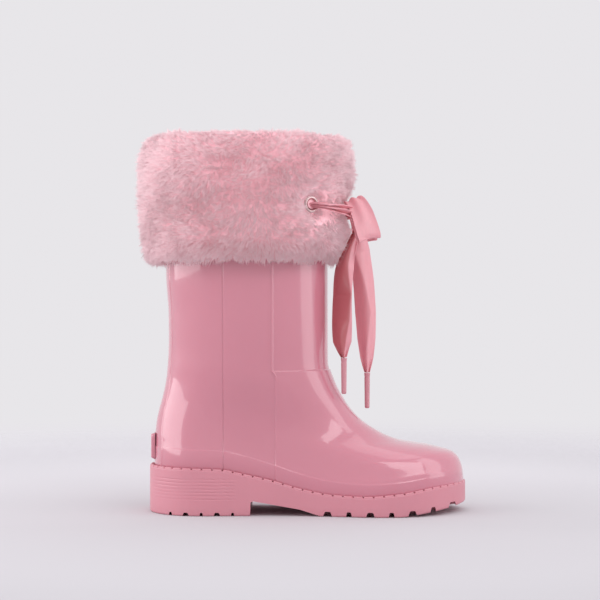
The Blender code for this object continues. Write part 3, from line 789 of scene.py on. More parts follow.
@dataclass
class Upper:
    """The glossy moulded upper with its panels, its textile lining and the blank tab at the heel."""

    form: BootForm
    top: float = 212
    ankle: float = 84
    wall: float = 2.2
    gap: float = 0.88
    floor: float = 4.28
    easing: int = 120
    strip_angle: float = 0.348
    groove_x: float = -46.2
    groove_depth: float = 0.42
    groove_half: float = 0.55
    seam_x: tuple[float, float] = (-14.8, -16.7)
    seam_height: float = 84
    vamp_top: float = 87
    vamp_rise: float = 0.55
    bead_rise: float = 0.6
    bead_half: float = 0.75
    strip_rise: float = 0.35
    foxing: Points = ((-93, 11.7), (-40, 11.5), (-16, 10), (35, 7.7), (67, 7), (103, 6.2))
    foxing_rise: float = 0.32
    badge_heights: tuple[float, float] = (32, 48)
    badge_width: float = 17
    badge_bulge: float = 0.9
    badge_x: float = -89.2
    badge_rise: float = 2.3
    badge_ease: float = 0.14
    badge_sink: float = 0.35

    def __post_init__(self) -> None:
        """Turns the foxing line into a smooth one."""
        self.foxing_height = Profile(self.foxing)

    def _seam(self, z: Array) -> Array:
        """x of the seam between the side panel and the front panels."""
        low, high = self.seam_x
        return low + (high - low) * smooth((z - self.seam_height) / 3)

    def _columns(self, back: float, front: float, seam: float) -> Array:
        """Places from the back to the front of a ring, close together beside each moulded line."""

        def turn(x: Number) -> Array:
            """The angle round the ring, from its back, at which x is reached."""
            return np.arccos(np.clip(1 - 2 * (np.asarray(x) - back) / (front - back), -1, 1))

        strip = self.strip_angle + np.array((-0.03, -0.018, -0.01, -0.004, 0.004, 0.01, 0.018, 0.03))
        groove = turn(self.groove_x + np.array((-1.3, -0.8, -0.55, -0.28, 0, 0.28, 0.55, 0.8, 1.3)))
        edge = turn(seam + np.array((-1.8, -1.1, -0.7, -0.42, -0.2, 0, 0.2, 0.42, 0.7, 1.1, 1.8)))
        parts = [np.linspace(0, strip[0], 8)[:-1], strip, np.linspace(strip[-1], groove[0], 14)[1:-1], groove,
                 np.linspace(groove[-1], edge[0], 14)[1:-1], edge, np.linspace(edge[-1], math.pi, 64)[1:]]
        angle = np.concatenate(parts)
        return back + (front - back) * (1 - np.cos(angle)) / 2

    def _ring_through(self, height: Callable[[Array], Array], back: float, front: float) -> Array:
        """A ring between two ends whose height follows a function of x."""
        seam = float(self._seam(height(np.array(self.seam_x[0]))))
        x = self._columns(back, front, seam)
        return self.form.ring(x, height(x))

    def _end(self, line: Profile, height: Callable[[Array], Array], start: float) -> float:
        """x where a side line of the boot meets a height function."""
        x = start
        for _ in range(40):
            x += 0.5 * (float(line(height(np.array(x)))) - x)
        return x

    def rings(self) -> Array:
        """The plain moulded surface, from the top down to the sole, without its relief."""
        form = self.form
        beside = self.vamp_top + np.array((1.6, 0.8, 0.45, 0.2, -0.05, -0.3, -0.6, -1.2))
        levels = np.concatenate([np.linspace(self.top, 156, 8), np.linspace(153, 89.5, 34), beside])
        rings = [self._ring_through(lambda x, z=z: z + 0 * x, float(form.back_x(z)), float(form.front_x(z)))
                 for z in levels]

        def band(share: float) -> Callable[[Array], Array]:
            """A line that share of the way up the foxing band."""
            return lambda x: form.rim_z(x) + self.foxing_height(x) * share

        low_back, low_front = (self._end(line, band(1), start)
                               for line, start in ((form.back_x, -89.2), (form.front_x, 100.0)))
        heights = np.linspace(self.ankle, float(band(1)(low_front)), 400)
        fronts = form.front_x(heights)
        run = np.concatenate(([0], np.cumsum(np.hypot(np.diff(heights), np.diff(fronts)))))
        for share in np.concatenate([np.linspace(0, 0.97, 74), (0.98, 0.988, 0.994)]):
            z_front = float(np.interp(share * run[-1], run, heights))
            front = float(form.front_x(z_front))
            foot_front, foot_back = (float(band(1)(np.array(x))) for x in (front, low_back))
            left_front = (z_front - foot_front) / (self.ankle - foot_front)
            back = float(form.back_x(foot_back + (self.ankle - foot_back) * (1 - share)))

            def height(x: Array, a: float = back, b: float = front, low: float = 1 - share,
                       high: float = left_front) -> Array:
                """A ring's height, which tilts from low at the back to high at the front."""
                left = low + (high - low) * smooth((x - a) / (b - a))
                return band(1)(x) + (self.ankle - band(1)(x)) * left

            rings.append(self._ring_through(height, back, front))
        first, last = len(levels), len(rings)
        for share in (1.0, 0.975, 0.95, 0.925, 0.88, 0.75, 0.6, 0.45, 0.3, 0.15, 0.0):
            back = self._end(form.back_x, band(share), low_back)
            front = self._end(form.front_x, band(share), low_front)
            rings.append(self._ring_through(band(share), back, front))
        return self._eased(np.stack(rings), first, last)

    def _eased(self, rings: Array, first: int, last: int) -> Array:
        """The rings with the foot's width evened out from row to row, so that reflections run smoothly."""
        row = np.arange(len(rings))
        share = smooth((row - first - 2) / 16) * smooth((last - 3 - row) / 10)
        width = rings[..., 1].copy()
        for _ in range(self.easing):
            middle = (width[:-2] + width[2:]) / 2
            width[1:-1] += 0.5 * share[1:-1, None] * (middle - width[1:-1])
        rings[..., 1] = width
        return rings

    def relief(self, rings: Array) -> Array:
        """How far the moulded lines and panels stand out of the plain surface."""
        x, z = rings[..., 0], rings[..., 2]
        half = (rings.shape[1] + 2) // 2
        back, front = rings[:, :1, 0], rings[:, half - 1: half, 0]
        turn = np.arccos(np.clip(1 - 2 * (x - back) / (front - back), -1, 1))
        height = z - self.form.rim_z(x)
        seam = self._seam(z)
        groove = np.maximum(0, 1 - np.abs(x - self.groove_x) / self.groove_half) ** 0.8
        above = smooth((z - 80) / 6)
        bead = np.maximum(0, 1 - ((x - seam) / self.bead_half) ** 2) * above
        vamp = smooth((x - seam) / 0.6 + 0.5) * smooth((self.vamp_top - z) / 0.5 + 0.5)
        foxing = smooth((self.foxing_height(x) - height) / 0.5 + 0.5) * (1 - 0.9 * smooth((x - 62) / 34))
        strip = smooth((self.strip_angle - turn) / 0.016 + 0.5)
        return (self.bead_rise * bead + self.vamp_rise * vamp + self.foxing_rise * foxing
                + self.strip_rise * strip - self.groove_depth * groove)

    def inward(self, rings: Array, distance: float) -> Array:
        """The same surface moved in by an even distance, with its floor that far above the sole."""
        normals = grid_normals(rings, wrap_columns=True)
        middle = rings.mean(axis=1, keepdims=True)
        facing = np.sign(np.einsum("ijk,ijk->ij", normals, rings - middle))
        outwards = normals * np.sign(np.median(facing))
        moved = rings - outwards * distance
        moved[..., 2] = np.maximum(moved[..., 2], self.form.rim_z(moved[..., 0]) + distance)
        return moved

    def build(self, wardrobe: Wardrobe) -> None:
        """Makes the upper, its lining and its tab."""
        rings = self.rings()
        outside = rings + (rings - self.inward(rings, 1.0)) * self.relief(rings)[..., None]
        outside[..., 2] = np.maximum(outside[..., 2], self.form.rim_z(outside[..., 0]))
        upper = make_piece("upper_moulding", *sock(outside, self.inward(rings, self.wall)), crease=70)
        wardrobe.dress(upper, Finish.SHELL, "boot", "upper_shell")
        walls = (self.inward(rings, distance) for distance in (self.wall + self.gap, self.floor))
        wardrobe.dress(make_piece("sock_cloth", *sock(*walls)), Finish.LINING, "boot", "sock_lining")
        self._badge(wardrobe)

    def _badge(self, wardrobe: Wardrobe) -> None:
        """The blank raised tab at the back of the heel, with a plain rim round its face."""
        low, high = self.badge_heights
        v, u = np.meshgrid(np.linspace(-1, 1, 33), np.linspace(-1, 1, 41), indexing="ij")
        base = np.stack([self.badge_x + self.badge_bulge * u**2, u * self.badge_width / 2,
                         (low + high) / 2 + v * (high - low) / 2], -1)
        out = unit(np.stack([base[..., 0] - self.badge_x - self.form.heel_round, base[..., 1], 0 * u], -1))
        edge = (np.abs(u) ** 8 + np.abs(v) ** 8) ** (1 / 8)
        rise = self.badge_rise * rounding(1 - edge, self.badge_ease)
        rise = rise - self.badge_sink * smooth((0.80 - edge) / 0.05)
        face = base + out * (0.5 + rise)[..., None]
        badge = make_piece("heel_tab", *shell(face, base + out * 0.45))
        wardrobe.dress(badge, Finish.SHELL, "boot", "heel_badge")


# ---------------- sole and insole


@dataclass
class Sole:
    """The lugged sole with its grooved heel, its notched welt and the insole that lies above it."""

    form: BootForm
    sides: int = 300
    arch: Points = ((-30.2, -3), (-29.7, 8.3), (-28.2, 8.9), (-16, 6.8), (0, 4), (11, 0.6), (13.5, -3))
    fore_start: float = 16.5
    fore_pitch: float = 12.7
    fore_count: int = 7
    fore_widths: tuple[float, float] = (5.3, 3.6)
    fore_depth: float = 3
    heel_start: float = -78.0
    heel_pitch: float = 9.4
    heel_count: int = 5
    heel_widths: tuple[float, float] = (2.0, 3.9)
    heel_depth: float = 2.1
    notch_reach: float = 12
    heel_lines: int = 8
    heel_line_levels: tuple[float, float] = (8.0, 24.0)
    heel_line_end: float = -38
    heel_line_depth: float = 0.22
    welt_pitch: float = 6.2
    welt_radius: float = 0.95
    welt_steps: int = 14
    welt_notch: int = 2
    insole_inset: float = 3.4
    recess: float = 1.6

    def build(self, wardrobe: Wardrobe) -> None:
        """Makes the sole, its welt and the insole."""
        block_piece = make_piece("sole_block", *block(self._rings()), crease=35)
        for cutter in self._cutters():
            knife = block_piece.modifiers.new("cut", "BOOLEAN")
            knife.operation, knife.solver, knife.object = "DIFFERENCE", "EXACT", cutter
        graph = bpy.context.evaluated_depsgraph_get()
        mesh = bpy.data.meshes.new_from_object(block_piece.evaluated_get(graph))
        block_piece.modifiers.clear()
        block_piece.data = mesh
        for cutter in [o for o in bpy.data.objects if o.name.startswith("cutter")]:
            bpy.data.objects.remove(cutter)
        mesh.shade_smooth()
        mesh.set_sharp_from_angle(angle=math.radians(35))
        wardrobe.dress(block_piece, Finish.SOLE, "boot", "outsole")
        wardrobe.dress(make_piece("welt_bead", *ring_solid(self._welt())), Finish.SOLE, "boot")
        self._insole(wardrobe)

    def _rings(self) -> Array:
        """Rings of the sole from its underside, up its grooved wall and in over its top."""
        form = self.form
        rings = [form.plan_ring(self.sides, lambda x, up=up: form.sole_bottom(x) + up, inset)
                 for inset, up in ((0.9, 0.0), (0.35, 0.25), (0.05, 0.8))]
        levels = 64
        foot, head = 1.2, 0.9
        for k in range(levels + 1):
            share = k / levels
            ring = form.plan_ring(self.sides, lambda x: (form.sole_bottom(x) + foot) * (1 - share)
                                  + (form.rim_z(x) - head) * share, 0.0)
            rings.append(self._grooved(ring))
        for inset, down in ((0.25, 0.55), (0.8, 0.4), (1.8, 0.4), (form.welt_ledge - 0.6, 0.5),
                            (form.welt_ledge + 1.5, self.recess)):
            rings.append(form.plan_ring(self.sides, lambda x, down=down: form.rim_z(x) - down, inset))
        return np.stack(rings)

    def _grooved(self, ring: Array) -> Array:
        """A ring of the wall pressed in where it runs through the heel's fine lines."""
        low, high = self.heel_line_levels
        x, z = ring[:, 0], ring[:, 2]
        phase = (z - low) / (high - low) * self.heel_lines
        inside = smooth((z - low) / 1) * smooth((high - z) / 1) * smooth((self.heel_line_end - x) / 3)
        inside = inside * smooth((x - self.form.sole_back) / 6)
        press = self.heel_line_depth * np.maximum(0, np.cos(2 * math.pi * phase)) ** 6 * inside
        centre = np.stack([x, self.form.sole_centre(x), z], -1)
        return ring + unit(centre - ring + 1e-9) * press[:, None]

    def _prism(self, name: str, outline: Array, y_low: float, y_high: float,
               taper: float = 1.0) -> Piece:
        """A cutter with an (x, z) outline between two values of y, narrower at its second end by `taper`."""
        middle = outline.mean(axis=0)
        ends = ((outline, y_low), (middle + (outline - middle) * (taper, 1), y_high))
        return make_piece(name, *tube(np.stack([np.insert(place, 1, y, axis=1) for place, y in ends])))

    def _cutters(self) -> list[Piece]:
        """The hollow under the arch and the notches between lugs."""
        form = self.form
        arch = np.array(self.arch, float)
        cutters = [self._prism("cutter_arch", arch, -60, 60)]
        rows = [(self.fore_start + self.fore_pitch * i, self.fore_widths[i % 2], self.fore_depth)
                for i in range(self.fore_count)]
        rows += [(self.heel_start + self.heel_pitch * i, self.heel_widths[i % 2], self.heel_depth)
                 for i in range(self.heel_count)]
        for x, width, depth in rows:
            half, centre = float(form.plan_half(np.array(x), 0)), float(form.sole_centre(np.array(x)))
            low = float(form.sole_bottom(np.array(x)))
            foot, head = 0.56 * width, 0.34 * width
            outline = np.array([(x - foot - 0.2, low - 1), (x + foot + 0.2, low - 1), (x + foot, low + 0.3),
                                (x + head + 0.25, low + depth - 0.5), (x + head - 0.25, low + depth),
                                (x - head + 0.25, low + depth), (x - head - 0.25, low + depth - 0.5),
                                (x - foot, low + 0.3)])
            reach = min(self.notch_reach, half - 3)
            for side in (-1, 1):
                cutters.append(self._prism("cutter_notch", outline, centre + side * (half + 8),
                                           centre + side * (half - reach), 0.7))
        return cutters

    def _welt(self) -> Array:
        """The welt bead round the sole's top edge, with a small notch at every pitch."""
        form = self.form
        path = form.plan_ring(600, lambda x: form.rim_z(x) - 0.35, 1.15)
        steps = self.welt_steps
        places = resampled(path, lambda length: round(length / self.welt_pitch) * steps)
        ahead = unit(np.roll(places, -1, 0) - np.roll(places, 1, 0))
        out = unit(np.cross(ahead, (0.0, 0.0, 1.0)))
        up = np.cross(out, ahead)
        notched = np.arange(len(places)) % steps < self.welt_notch
        size = np.where(notched, 0.45, 1.0) * self.welt_radius
        angle = np.linspace(0, 2 * math.pi, 12, endpoint=False)[None, :, None]
        drop = np.where(notched, -0.3, 0.0)[:, None, None] * up[:, None]
        arms = out[:, None] * np.cos(angle) + up[:, None] * np.sin(angle)
        return places[:, None] + drop + arms * size[:, None, None]

    def _insole(self, wardrobe: Wardrobe) -> None:
        """The foam insole and its cloth cover, both with eased edges."""
        form = self.form
        inset = form.welt_ledge + Upper.floor + self.insole_inset
        for name, node, finish, low, thick in (("insole_pad", "insole_foam", Finish.FOAM, 0.9, 3.0),
                                               ("insole_top", "insole_cover", Finish.LINING, 4.3, 1.0)):
            ease = 0.35 * thick
            part = ease * 0.3
            steps = [(ease, 0), (part, part), (0, ease), (0, thick - ease), (part, thick - part),
                     (ease, thick)]
            base = Upper.floor + low
            rings = np.stack([form.plan_ring(60, lambda x, up=up: form.rim_z(x) + base + up, inset + side)
                              for side, up in steps])
            piece = make_piece(name, *block(rings), crease=60)
            wardrobe.dress(piece, finish, "insole", node)


# ---------------- cuff


@dataclass
class Cuff:
    """The fold-over cuff: knitted backing, binding tape, eyelets and a dense clumped pile."""

    form: BootForm
    back_out: Points = ((150, 6), (152, 11), (156, 15), (164, 17.5), (180, 18.6), (205, 19.7), (216, 19.4),
                        (224, 17), (229, 13), (231.5, 6))
    front_out: Points = ((150, 4), (154, 6.5), (158, 9.5), (164, 13), (172, 16), (196, 18), (208, 19),
                         (216, 18.5), (224, 16.5), (229, 12), (231.5, 6))
    dent_depth: float = 6.5
    dent_height: float = 185
    dent_spread: float = 9.5
    eyelet_angle: float = 46
    eyelet_z: float = 187
    eyelet_seat: float = 6.1
    eyelet_bore: float = 2.9
    eyelet_barrel: float = 3.5
    eyelet_flange: float = 5.4
    eyelet_roll: float = 0.55
    eyelet_crown: float = 0.42
    strands: int = 118000
    clumps: int = 12000
    bundles: int = 10
    fibre: float = 0.23
    lean: float = 3.2
    crop: float = 1.1
    steps: tuple[float, ...] = (0.0, 0.42, 0.78, 1.0)
    waves: tuple[float, ...] = (5.0, 8.0, 13.0, 23.0, 37.0)
    skin_tone: float = 0.4
    skin_height: float = 0.45
    seed: int = 7

    def __post_init__(self) -> None:
        """Turns the cuff's outlines into smooth lines."""
        self.back_line, self.front_line = Profile(self.back_out), Profile(self.front_out)

    def _dent(self, angle: Array, z: Array) -> Array:
        """How far the tied ribbon presses the pile in, between the eyelets."""
        from_front = np.abs(np.degrees(np.arctan2(np.sin(angle), np.cos(angle))))
        reach = smooth((self.eyelet_angle + 22 - from_front) / 24)
        return self.dent_depth * reach * np.exp(-(((z - self.dent_height) / self.dent_spread) ** 2))

    def outside(self, angle: Array, z: Array) -> Array:
        """Distance of the pile's surface from the shaft's wall."""
        ahead = (1 + np.cos(angle)) / 2
        back, front = self.back_line(z), self.front_line(z)
        return back + (front - back) * ahead**3 - self._dent(angle, z)

    def _section(self, angle: Array, s: Array) -> tuple[Array, Array]:
        """Where the pile's roots and tips lie.

        Args:
            angle: angle of each strand from the front of the shaft.
            s: place along the cuff's section, from 0 at its lower edge over the top to 1 inside the mouth.

        Returns:
            The roots and the tips.
        """
        turn_over = 0.7
        share = np.clip(s / turn_over, 0, 1)
        tip_z = 150.4 + (227 - 150.4) * share
        tip_r = self.outside(angle, tip_z)
        root_z, root_r = 157 + (226 - 157) * share, np.full_like(s, 6.4)
        keys = (0.70, 0.75, 0.80, 0.84, 0.88, 0.92, 1.0)
        over = s > turn_over
        crown = self.outside(angle, np.full_like(s, 227.0))
        second = self.outside(angle, np.full_like(s, 229.6))
        fixed_r = np.interp(s, keys[2:], (6.5, -1.5, -7.5, -11.2, -12))
        blend = np.clip((s - 0.70) / 0.05, 0, 1)
        later = np.clip((s - 0.75) / 0.05, 0, 1)
        over_r = np.where(s < 0.75, crown + (second - crown) * blend, second + (6.5 - second) * later)
        over_r = np.where(s > 0.80, fixed_r, over_r)
        over_z = np.interp(s, keys, (227, 229.6, 231.3, 231.0, 228.5, 223, 206))
        back_r = np.interp(s, keys, (6.4, 5.8, 3, -1, -5, -8.3, -8.3))
        back_z = np.interp(s, keys, (226, 227, 227.2, 227.2, 227, 224, 207))
        tip_r, tip_z = np.where(over, over_r, tip_r), np.where(over, over_z, tip_z)
        root_r, root_z = np.where(over, back_r, root_r), np.where(over, back_z, root_z)
        return self.form.shaft_point(angle, root_r, root_z), self.form.shaft_point(angle, tip_r, tip_z)

    def _eyelet(self, side: int) -> tuple[Array, Array]:
        """The middle of an eyelet's seat and the direction that it faces."""
        angle = side * math.radians(self.eyelet_angle)
        return self.form.shaft_point(angle, self.eyelet_seat, self.eyelet_z), self.form.shaft_out(angle)

    def _part_round_eyelets(self, roots: Array, tips: Array) -> tuple[Array, Array]:
        """Shortens the pile into a funnel round each eyelet.

        Returns:
            The tips, and which strands stay.
        """
        keep = np.ones(len(roots), bool)
        for side in (-1, 1):
            seat, out = self._eyelet(side)
            arm = roots - seat
            away = arm - (arm @ out)[:, None] * out
            near_side = arm @ out > -self.form.shaft_b / 2
            distance = np.where(near_side, np.linalg.norm(away, axis=1), self.form.shaft_a)
            keep &= distance > self.eyelet_flange - 0.4
            full = smooth((distance - self.eyelet_flange + 0.5) / 8.5)
            low = roots + (tips - roots) * (0.22 + 0.78 * full)[:, None]
            low += unit(away) * (1.6 * (1 - full))[:, None]
            near = (distance < 16)[:, None]
            tips = np.where(near, low, tips)
        return tips, keep

    def _clumped(self, tips: Array, angle: Array, s: Array, rng: np.random.Generator) -> Array:
        """Draws each tip towards the middle of its clump, clump by clump."""
        centre_angle, centre_s = rng.uniform(0, 2 * math.pi, self.clumps), rng.uniform(0, 1, self.clumps)
        _, centres = self._section(centre_angle, centre_s)
        tree = kdtree.KDTree(self.clumps)
        for index, place in enumerate(centres):
            tree.insert(Vector(place), index)
        tree.balance()
        nearest = np.array([tree.find(Vector(tip))[1] for tip in tips])
        pull = rng.uniform(0.1, 0.5, self.clumps)[nearest] * rng.uniform(0.6, 1.0, len(tips))
        toward = centres[nearest] - tips
        toward /= np.maximum(1, np.linalg.norm(toward, axis=1, keepdims=True) / 3.5)
        length = rng.uniform(-1.3, 0.3, self.clumps)[nearest]
        sway = rng.normal(0, 0.7, (self.clumps, 3))[nearest]
        return tips + toward * pull[:, None] + sway + self._outward(angle, s) * length[:, None]

    def _outward(self, angle: Array, s: Array) -> Array:
        """Roughly the way the pile stands at each strand."""
        roots, tips = self._section(angle, s)
        return unit(tips - roots)

    def _comb(self, roots: Array, rng: np.random.Generator) -> Array:
        """A slowly changing lean of the pile, as left by a hand brushing over it."""
        lean = np.zeros_like(roots)
        for wave in self.waves:
            for _ in range(3):
                direction, push = rng.normal(size=3), rng.normal(size=3)
                phase = roots @ (unit(direction) * 2 * math.pi / wave) + rng.uniform(0, 2 * math.pi)
                lean += np.sin(phase)[:, None] * unit(push) * (0.35 + wave / 60)
        return lean

    def _strand_paths(self) -> tuple[Array, Array]:
        """The middle line of every strand, at four places from root to tip.

        Returns:
            The places (strand, place, xyz) and each strand's tone from 0 to 1.
        """
        rng = np.random.default_rng(self.seed)
        share = rng.uniform(0, 1, self.strands)
        s = np.interp(share, (0, 0.10, 0.70, 0.85, 1.0), (0, 0.05, 0.70, 0.90, 1.0))
        angle = rng.uniform(0, 2 * math.pi, self.strands)
        roots, tips = self._section(angle, s)
        stand = unit(tips - roots)
        tips, keep = self._part_round_eyelets(roots, tips)
        length = np.linalg.norm(tips - roots, axis=1)
        tips = self._clumped(tips, angle, s, rng)
        lean = self._comb(roots, rng)
        lean -= np.einsum("ij,ij->i", lean, stand)[:, None] * stand
        lean *= self.lean / 2 * np.clip(length / 9, 0.25, 1)[:, None]
        hang = smooth((0.12 - s) / 0.12)[:, None] * np.array((0, 0, -1.2))
        straight = roots + stand * length[:, None]
        bent = tips - straight + lean + hang + rng.normal(0, 0.55, roots.shape)
        length = np.maximum(length - self.crop, 1.0)
        steps = np.array(self.steps)[None, :, None]
        reach = (stand * length[:, None] * rng.uniform(0.88, 1.05, self.strands)[:, None])[:, None]
        paths = roots[:, None] + reach * (1.25 * steps - 0.25 * steps**2) * 0.99 + bent[:, None] * steps**1.9
        return paths[keep], rng.uniform(0, 1, self.strands)[keep]

    def _strand_mesh(self, name: str, paths: Array, tone: Array,
                     rng: np.random.Generator) -> Piece:
        """A bundle of closed three-sided strands that taper to their tips."""
        count = len(paths)
        ahead = unit(np.gradient(paths, axis=1))
        side = unit(np.cross(ahead[:, :1], rng.normal(size=(count, 1, 3))))
        along = np.einsum("ijk,ijk->ij", ahead, np.broadcast_to(side, ahead.shape))
        side = unit(side - along[..., None] * ahead)
        other = np.cross(ahead, side)
        width = self.fibre * np.array((1.0, 0.85, 0.5))[None, :, None] * rng.uniform(0.7, 1.25, (count, 1, 1))
        rings = []
        for turn in np.arange(3) * 2 * math.pi / 3:
            arm = side[:, :3] * math.cos(turn) + other[:, :3] * math.sin(turn)
            rings.append(paths[:, :3] + arm * width)
        body = np.stack(rings, axis=2).reshape(count, 9, 3)
        points = np.concatenate([body, paths[:, 3:]], axis=1)
        sides = [(r * 3 + i, r * 3 + (i + 1) % 3, r * 3 + 3 + (i + 1) % 3, r * 3 + 3 + i)
                 for r in range(2) for i in range(3)]
        ends = [(0, 2, 1)] + [(6 + i, 6 + (i + 1) % 3, 9) for i in range(3)]
        start = (np.arange(count) * 10)[:, None, None]
        quads, triangles = ((start + np.array(group)[None]).reshape(-1, len(group[0]))
                            for group in (sides, ends))
        piece = make_piece(name, points, quads, triangles, crease=180)
        stand = unit(paths[:, 2] - paths[:, 0])[:, None] * 0.8
        centre = np.concatenate([np.repeat(paths[:, :3], 3, axis=1), paths[:, 3:]], axis=1)
        facing = unit(stand + 0.35 * (points - centre) / self.fibre)
        piece.data.normals_split_custom_set_from_vertices(facing.reshape(-1, 3))
        mark_points(piece, "pile", np.tile(np.repeat(self.steps, (3, 3, 3, 1)), count))
        mark_points(piece, "tone", np.repeat(tone, 10))
        self._lay_out(piece, count)
        return piece

    def _lay_out(self, piece: Piece, count: int) -> None:
        """Lays every strand's faces flat in a cell of its own."""
        mesh = piece.data
        across = math.ceil(math.sqrt(count))
        corner = np.empty(len(mesh.loops), np.int32)
        mesh.loops.foreach_get("vertex_index", corner)
        starts = np.empty(len(mesh.polygons), np.int32)
        mesh.polygons.foreach_get("loop_start", starts)
        sizes = np.diff(np.append(starts, len(mesh.loops)))
        face = np.repeat(np.arange(len(sizes)), sizes)
        strand, local = corner // 10, corner % 10
        row, spoke = np.minimum(local // 3, 3), local % 3
        lowest = np.full(len(sizes), 9)
        np.minimum.at(lowest, face, spoke)
        highest = np.zeros(len(sizes), int)
        np.maximum.at(highest, face, np.where(local == 9, 0, spoke))
        wraps = (lowest[face] == 0) & (highest[face] == 2)
        u = np.where(wraps & (spoke == 0), 3, spoke) / 3
        u = np.where(local == 9, 0.5, u)
        v = row / 3
        cell = np.stack([strand % across, strand // across], -1) / across
        layer = mesh.uv_layers.new(name="OFBake")
        place = cell + np.stack([0.08 + 0.8 * u, 0.08 + 0.8 * v], -1) / across
        layer.data.foreach_set("uv", place.astype(np.float32).ravel())

    def build(self, wardrobe: Wardrobe) -> None:
        """Makes the backing, the binding, the pile and the eyelets."""
        self._underlayers(wardrobe)
        paths, tone = self._strand_paths()
        rng = np.random.default_rng(self.seed + 1)
        for index in range(self.bundles):
            own = slice(index, None, self.bundles)
            bundle = self._strand_mesh(f"fur_pile_{index + 1}", paths[own], tone[own], rng)
            wardrobe.dress(bundle, Finish.FUR, "boot")
        self._eyelets(wardrobe)

    def _underlayers(self, wardrobe: Wardrobe) -> None:
        """The skin that carries the pile, the backing inside it and the tape over the shaft's edge."""
        angle = np.linspace(0, 2 * math.pi, 240, endpoint=False)
        s = np.linspace(0, 1, 90)
        grid_s, grid_angle = (values.ravel() for values in np.meshgrid(s, angle, indexing="ij"))
        roots, tips = self._section(grid_angle, grid_s)
        rng = np.random.default_rng(self.seed + 2)
        wool = self.skin_height + 0.07 * rng.uniform(0, 1, len(roots))
        edge = smooth(grid_s / 0.14) * smooth((1 - grid_s) / 0.05)
        over = roots + (tips - roots) * (wool * edge)[:, None]
        for side in (-1, 1):
            seat, out = self._eyelet(side)
            arm = roots - seat
            flat = np.linalg.norm(arm - (arm @ out)[:, None] * out, axis=1)
            beside = (flat < 9) & (arm @ out > -self.form.shaft_b / 2)
            over = np.where(beside[:, None], roots + unit(tips - roots) * 0.2, over)
        under = roots - unit(tips - roots) * 0.25
        walls = (line.reshape(len(s), len(angle), 3) for line in (over, under))
        skin = make_piece("fur_ground", *shell(*walls, wrap=True), crease=180)
        for name in ("pile", "tone"):
            mark_points(skin, name, np.full(len(skin.data.vertices), self.skin_tone))
        wardrobe.dress(skin, Finish.FUR, "boot", "cuff_fur")
        knit = rounded(((5.5, 157), (5.5, 226), (-7.5, 226), (-7.5, 206), (-6.6, 206), (-6.6, 225.1),
                        (4.6, 225.1), (4.6, 157)), 160)
        tape = rounded(((1.3, 203), (1.3, 213.4), (-6.0, 213.4), (-6.0, 203), (-5.4, 203), (-5.4, 212.8),
                        (0.7, 212.8), (0.7, 203)), 96)
        for name, node, outline, finish in (("cuff_knit", "cuff_backing", knit, Finish.BACKING),
                                            ("edge_tape", "shaft_binding", tape, Finish.TAPE)):
            rings = self.form.shaft_point(angle[:, None], outline[None, :, 0], outline[None, :, 1])
            wardrobe.dress(make_piece(name, *ring_solid(rings)), finish, "boot", node)

    def _eyelets(self, wardrobe: Wardrobe) -> None:
        """Rolled metal eyelets, and the washers that they are clenched over inside."""
        bore, barrel, flange = self.eyelet_bore, self.eyelet_barrel, self.eyelet_flange
        roll, edge = self.eyelet_roll, barrel + 0.3
        lip = [(flange - roll + roll * math.sin(t), roll - roll * math.cos(t))
               for t in np.linspace(0, math.pi, 12)]
        crown = [(flange - roll - (flange - bore - roll) * t,
                  2 * roll + self.eyelet_crown * math.sin(math.pi * (0.15 + 0.85 * t)))
                 for t in np.linspace(0.08, 1, 14)]
        profile = np.array([(bore, -2.2), (barrel, -2.2), (barrel, -0.3), (edge, 0.0)] + lip + crown)
        washer = np.array(((edge, 0.1), (barrel + 0.4, 0), (4.9, 0), (5.0, 0.1), (5.0, 0.45), (4.85, 0.6),
                           (barrel + 0.5, 0.6), (edge, 0.5)))
        for name, side in (("lateral", -1), ("medial", 1)):
            seat, out = self._eyelet(side)
            ring = make_piece(f"eyelet_ring_{name}", *ring_solid(turned(profile, 72, seat, out)), crease=50)
            wardrobe.dress(ring, Finish.METAL, "boot", f"eyelet_{name}")
            back = make_piece(f"eyelet_back_{name}", *ring_solid(turned(washer, 72, seat - out * 2.6, out)))
            wardrobe.dress(back, Finish.METAL, "boot", f"eyelet_washer_{name}")


# ---------------- ribbon


